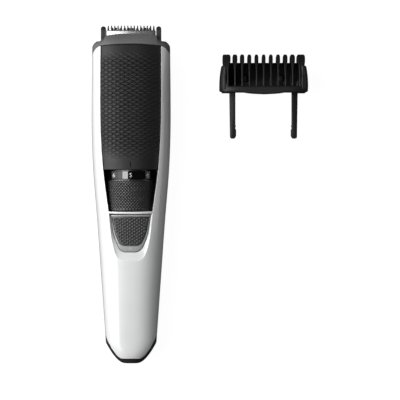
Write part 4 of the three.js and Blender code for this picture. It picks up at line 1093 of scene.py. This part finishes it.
COMB_X, COMB_ALONG = 70.2, 142.8
COMB_HALF, COMB_DEPTH, COMB_WALL = 23.5, 29.0, 2.0
COMB_RING, COMB_CHEEK, COMB_BACK = 3.6, 14.5, 9.5
COMB_INSIDE = 20.3
COMB_POWER = 0.3
COMB_RAKE = 1.3  # how much further up the rim starts at the back
COMB_ROUND = 0.8
ARM_INSIDE, ARM_ROOT = 14.9, 22.2
TINE_SPREAD = (12.5, 17.5)  # above the rim, a tine widens between these stations
OUTER_TINE, OUTER_TINE_HALF = 20.6, 0.75
TINE_PITCH, TINE_COUNT, TINE_HALF = 3.8, 11, 0.55
TINE_OUTER = [(2, 28.3), (8, 28), (14, 26.4), (18.6, 22.6), (20.5, 18), (20.3, 13), (18.2, 8), (13.5, 3.6),
              (8, 1.2), (2, 0.5)]
TINE_INNER = [(2, 2.8), (8, 3.3), (12.2, 6.4), (14.6, 11), (14.6, 18.5), (12.2, 23.2), (7.5, 25.8), (2, 26.3)]
WEB_OUTER = [(2, 1), (8, 1.7), (13, 4.2), (16.7, 7.8)]
WEB_INNER = [(15.6, 8.7), (12.2, 5.4), (7.6, 2.9), (2, 2.5)]


def comb_rim():
    """The rim and its cheeks: one wall swept round, whose height changes on the way."""
    turn = np.linspace(0, 2 * math.pi, 360, endpoint=False)

    def on_wall(y, inset):
        swell = 1 - 0.04 * np.maximum(0, (y - 4) / 10) ** 2 - 0.05 * np.maximum(0, 1 - y / 1.6) ** 2
        half = (COMB_HALF - inset) * swell
        middle = COMB_DEPTH / 2
        x = half * np.sign(np.cos(turn)) * np.abs(np.cos(turn)) ** COMB_POWER
        z = middle + (middle - inset) * np.sign(np.sin(turn)) * np.abs(np.sin(turn)) ** COMB_POWER
        return np.stack([x, y + 0 * x, z], 1)

    plan = on_wall(np.full(turn.shape, 5.0), 0.0)
    cheek = smooth(COMB_INSIDE - 1.2, COMB_INSIDE + 1.6, np.abs(plan[:, 0]))
    low_side = np.where(plan[:, 2] > COMB_DEPTH / 2, COMB_RING, COMB_BACK)
    top = low_side + (COMB_CHEEK - low_side) * cheek
    chin = 0.9 * np.clip(1 - (plan[:, 0] / 11.5) ** 2, 0, 1) ** 0.8 * (plan[:, 2] > COMB_DEPTH - 2)
    r = COMB_ROUND
    bottom = COMB_RAKE * (1 - plan[:, 2] / COMB_DEPTH) - chin
    sink, lift = np.sin(QUARTER), np.cos(QUARTER)
    profile = [(r - r * a, bottom + r - r * b) for a, b in zip(sink, lift)]
    profile += [(0.0, bottom + r + (top - bottom - 2 * r) * k) for k in (0.2, 0.4, 0.6, 0.8)]
    profile += [(r - r * b, top - r + r * a) for a, b in zip(sink, lift)]
    profile += [(COMB_WALL - r + r * a, top - r + r * b) for a, b in zip(sink, lift)]
    profile += [(COMB_WALL, bottom + r + (top - bottom - 2 * r) * k) for k in (0.8, 0.6, 0.4, 0.2)]
    profile += [(COMB_WALL - r + r * b, bottom + r - r * a) for a, b in zip(sink, lift)]
    rings = np.stack([on_wall(y, inset) for inset, y in profile], 1)
    return swept("comb_rim", rings + [COMB_X, COMB_ALONG, 0.0], closed_sweep=True)


def side_plate(name, outline, middle, half, radius):
    """A plate of the comb that stands across it, given by its outline from the side."""
    outline = [(COMB_ALONG + y, z) for y, z in outline]
    return plate(name, outline, COMB_X + middle - half, COMB_X + middle + half, plane="yz", radius=radius)


def comb_tine(index, middle, half):
    outline = [*spline(TINE_OUTER, 64), *spline(TINE_INNER, 56)]
    tine = side_plate(f"comb_tine_{index:02d}", outline, middle, half, 0.22)
    swell = 0.7 + 1.1 * (middle / COMB_INSIDE) ** 2 if abs(middle) < COMB_INSIDE else 0.6

    def move(p):
        above = p[1] - COMB_ALONG
        spread = smooth(*TINE_SPREAD, above)
        width = (1 + swell * spread) * (1 - 0.3 * smooth(19.4, 20.6, above))
        width = width * (1 - 0.35 * smooth(24, 27.5, p[2]) * (1 - spread))
        return np.array([COMB_X + middle + (p[0] - COMB_X - middle) * width, p[1], p[2]])

    return reshape(tine, move)


def comb_web():
    return side_plate("comb_web", [*spline(WEB_OUTER, 24), *spline(WEB_INNER, 24)], 0, COMB_INSIDE, 0.3)


def comb_lug(side):
    x = COMB_X + side * 2.5 * TINE_PITCH
    y = COMB_ALONG + 8.2
    return rounded_box("comb_lug_" + SIDE_NAME[side], (x - 1.1, x + 1.1), (y - 1.6, y + 1.6), (2.2, 5.4), 0.4)


ARM_Z = (10.2, 14.6)
ARM_OUTLINE = [
    (ARM_INSIDE, 2.4), (ARM_INSIDE, -16.6), (14.6, -17.3), (ARM_INSIDE, -18.1), (ARM_INSIDE, -18.6),
    (14.5, -19.3), (14.5, -22.4), (ARM_INSIDE, -23.3), (15.4, -23.9), (17.2, -23.9), (17.8, -23.3),
    (18.2, 2.4)]


def comb_arm(side):
    outline = [(COMB_X + side * x, COMB_ALONG + y) for x, y in ARM_OUTLINE]
    arm = plate("comb_arm_" + SIDE_NAME[side], outline, *ARM_Z, radius=0.3, segments=3)
    x = [COMB_X + at for at in mirrored(side, (ARM_INSIDE, ARM_ROOT))]
    root = rounded_box(
        "root", x, (COMB_ALONG + 0.2, COMB_ALONG + 2.4), (ARM_Z[0] - 1.4, ARM_Z[1] + 1.4), 0.4)
    return combine(arm, [root])


comb_pieces = [comb_rim(), comb_web()]
comb_pieces += [make(side) for make in (comb_arm, comb_lug) for side in (1, -1)]
tines = [((i - (TINE_COUNT - 1) / 2) * TINE_PITCH, TINE_HALF) for i in range(TINE_COUNT)]
tines += [(-OUTER_TINE, OUTER_TINE_HALF), (OUTER_TINE, OUTER_TINE_HALF)]
comb_pieces += [comb_tine(i, *tine) for i, tine in enumerate(tines, 1)]
for piece in comb_pieces:
    show(piece, "comb", "comb_black", "guide_comb")

# ---- floor, light and camera

FLOOR_HALF = 25.0  # wide enough that a low view never sees its edge
FLOOR_Z = -0.0002
FLOOR_GLOW = 0.97


def floor():
    mesh = bpy.data.meshes.new("floor")
    corners = [(-1, -1), (1, -1), (1, 1), (-1, 1)]
    mesh.from_pydata([(x * FLOOR_HALF, y * FLOOR_HALF, FLOOR_Z) for x, y in corners], [], [(0, 1, 2, 3)])
    obj = linked("floor", mesh)
    look = Look("floor_paper", grey(0.12), 0.8)
    look.roughness(look.noise(60, 2), 0.75, 0.85)
    look.tint(look.noise(80, 2), grey(0.11))
    look.set("Emission Color", (1, 1, 1, 1))
    look.set("Emission Strength", FLOOR_GLOW)
    mesh.materials.append(look.material)
    obj.visible_diffuse = False
    obj.visible_glossy = False


LIGHT_AIM_Z = 0.02
WINDOW_ALONG = (-0.45, 0.95)


def softbox(name, low, high, along, distance, radiance):
    """A panel of light at the left that spans these angles from overhead, seen from the trimmer's axis."""
    middle = math.radians((low + high) / 2)
    data = bpy.data.lights.new(name, "AREA")
    data.shape = "RECTANGLE"
    data.size = 2 * distance * math.tan(math.radians(high - low) / 2)
    data.size_y = along[1] - along[0]
    data.energy = radiance * data.size * data.size_y * math.pi
    obj = linked(name, data)
    aim = Vector((0, (along[0] + along[1]) / 2, LIGHT_AIM_Z))
    obj.location = aim + distance * Vector((-math.sin(middle), 0, math.cos(middle)))
    obj.rotation_euler = (0, -middle, 0)
    return obj


floor()
softbox("window_high", 34, 52, WINDOW_ALONG, 0.8, 4.2)
softbox("window_middle", 52, 70, WINDOW_ALONG, 0.8, 3.1)
softbox("window_low", 70, 88, WINDOW_ALONG, 0.8, 1.7)
softbox("strip", 12, 34, (-0.01, 0.05), 0.8, 16)
softbox("strip_upper", 12, 34, (0.05, 0.2), 0.8, 5)
softbox("glint", 3.8, 14, (0.1, 0.18), 0.8, 5.0)
softbox("head_fill", -25, 4, (0.11, 0.22), 0.82, 0.22)
softbox("side_fill", -95, -62, (-0.1, 0.9), 0.9, 0.97)

world = bpy.data.worlds.new("studio")
bpy.context.scene.world = world
world.use_nodes = True
world.node_tree.nodes["Background"].inputs["Color"].default_value = (1, 1, 1, 1)
world.node_tree.nodes["Background"].inputs["Strength"].default_value = 0.05

VIEW_WIDTH = 0.2116  # metres across the view at VIEW_Z, the height of the trimmer's widest section
VIEW_Z = 0.02
CAMERA_OVER, CAMERA_HEIGHT = (0.0365, 0.0113), 1.8
camera_data = bpy.data.cameras.new("camera")
camera_data.sensor_width = 36
camera_data.lens = camera_data.sensor_width * (CAMERA_HEIGHT - VIEW_Z) / VIEW_WIDTH
camera = linked("camera", camera_data)
camera.location = (*CAMERA_OVER, CAMERA_HEIGHT)
bpy.context.scene.camera = camera
bpy.context.scene.view_settings.view_transform = "Standard"
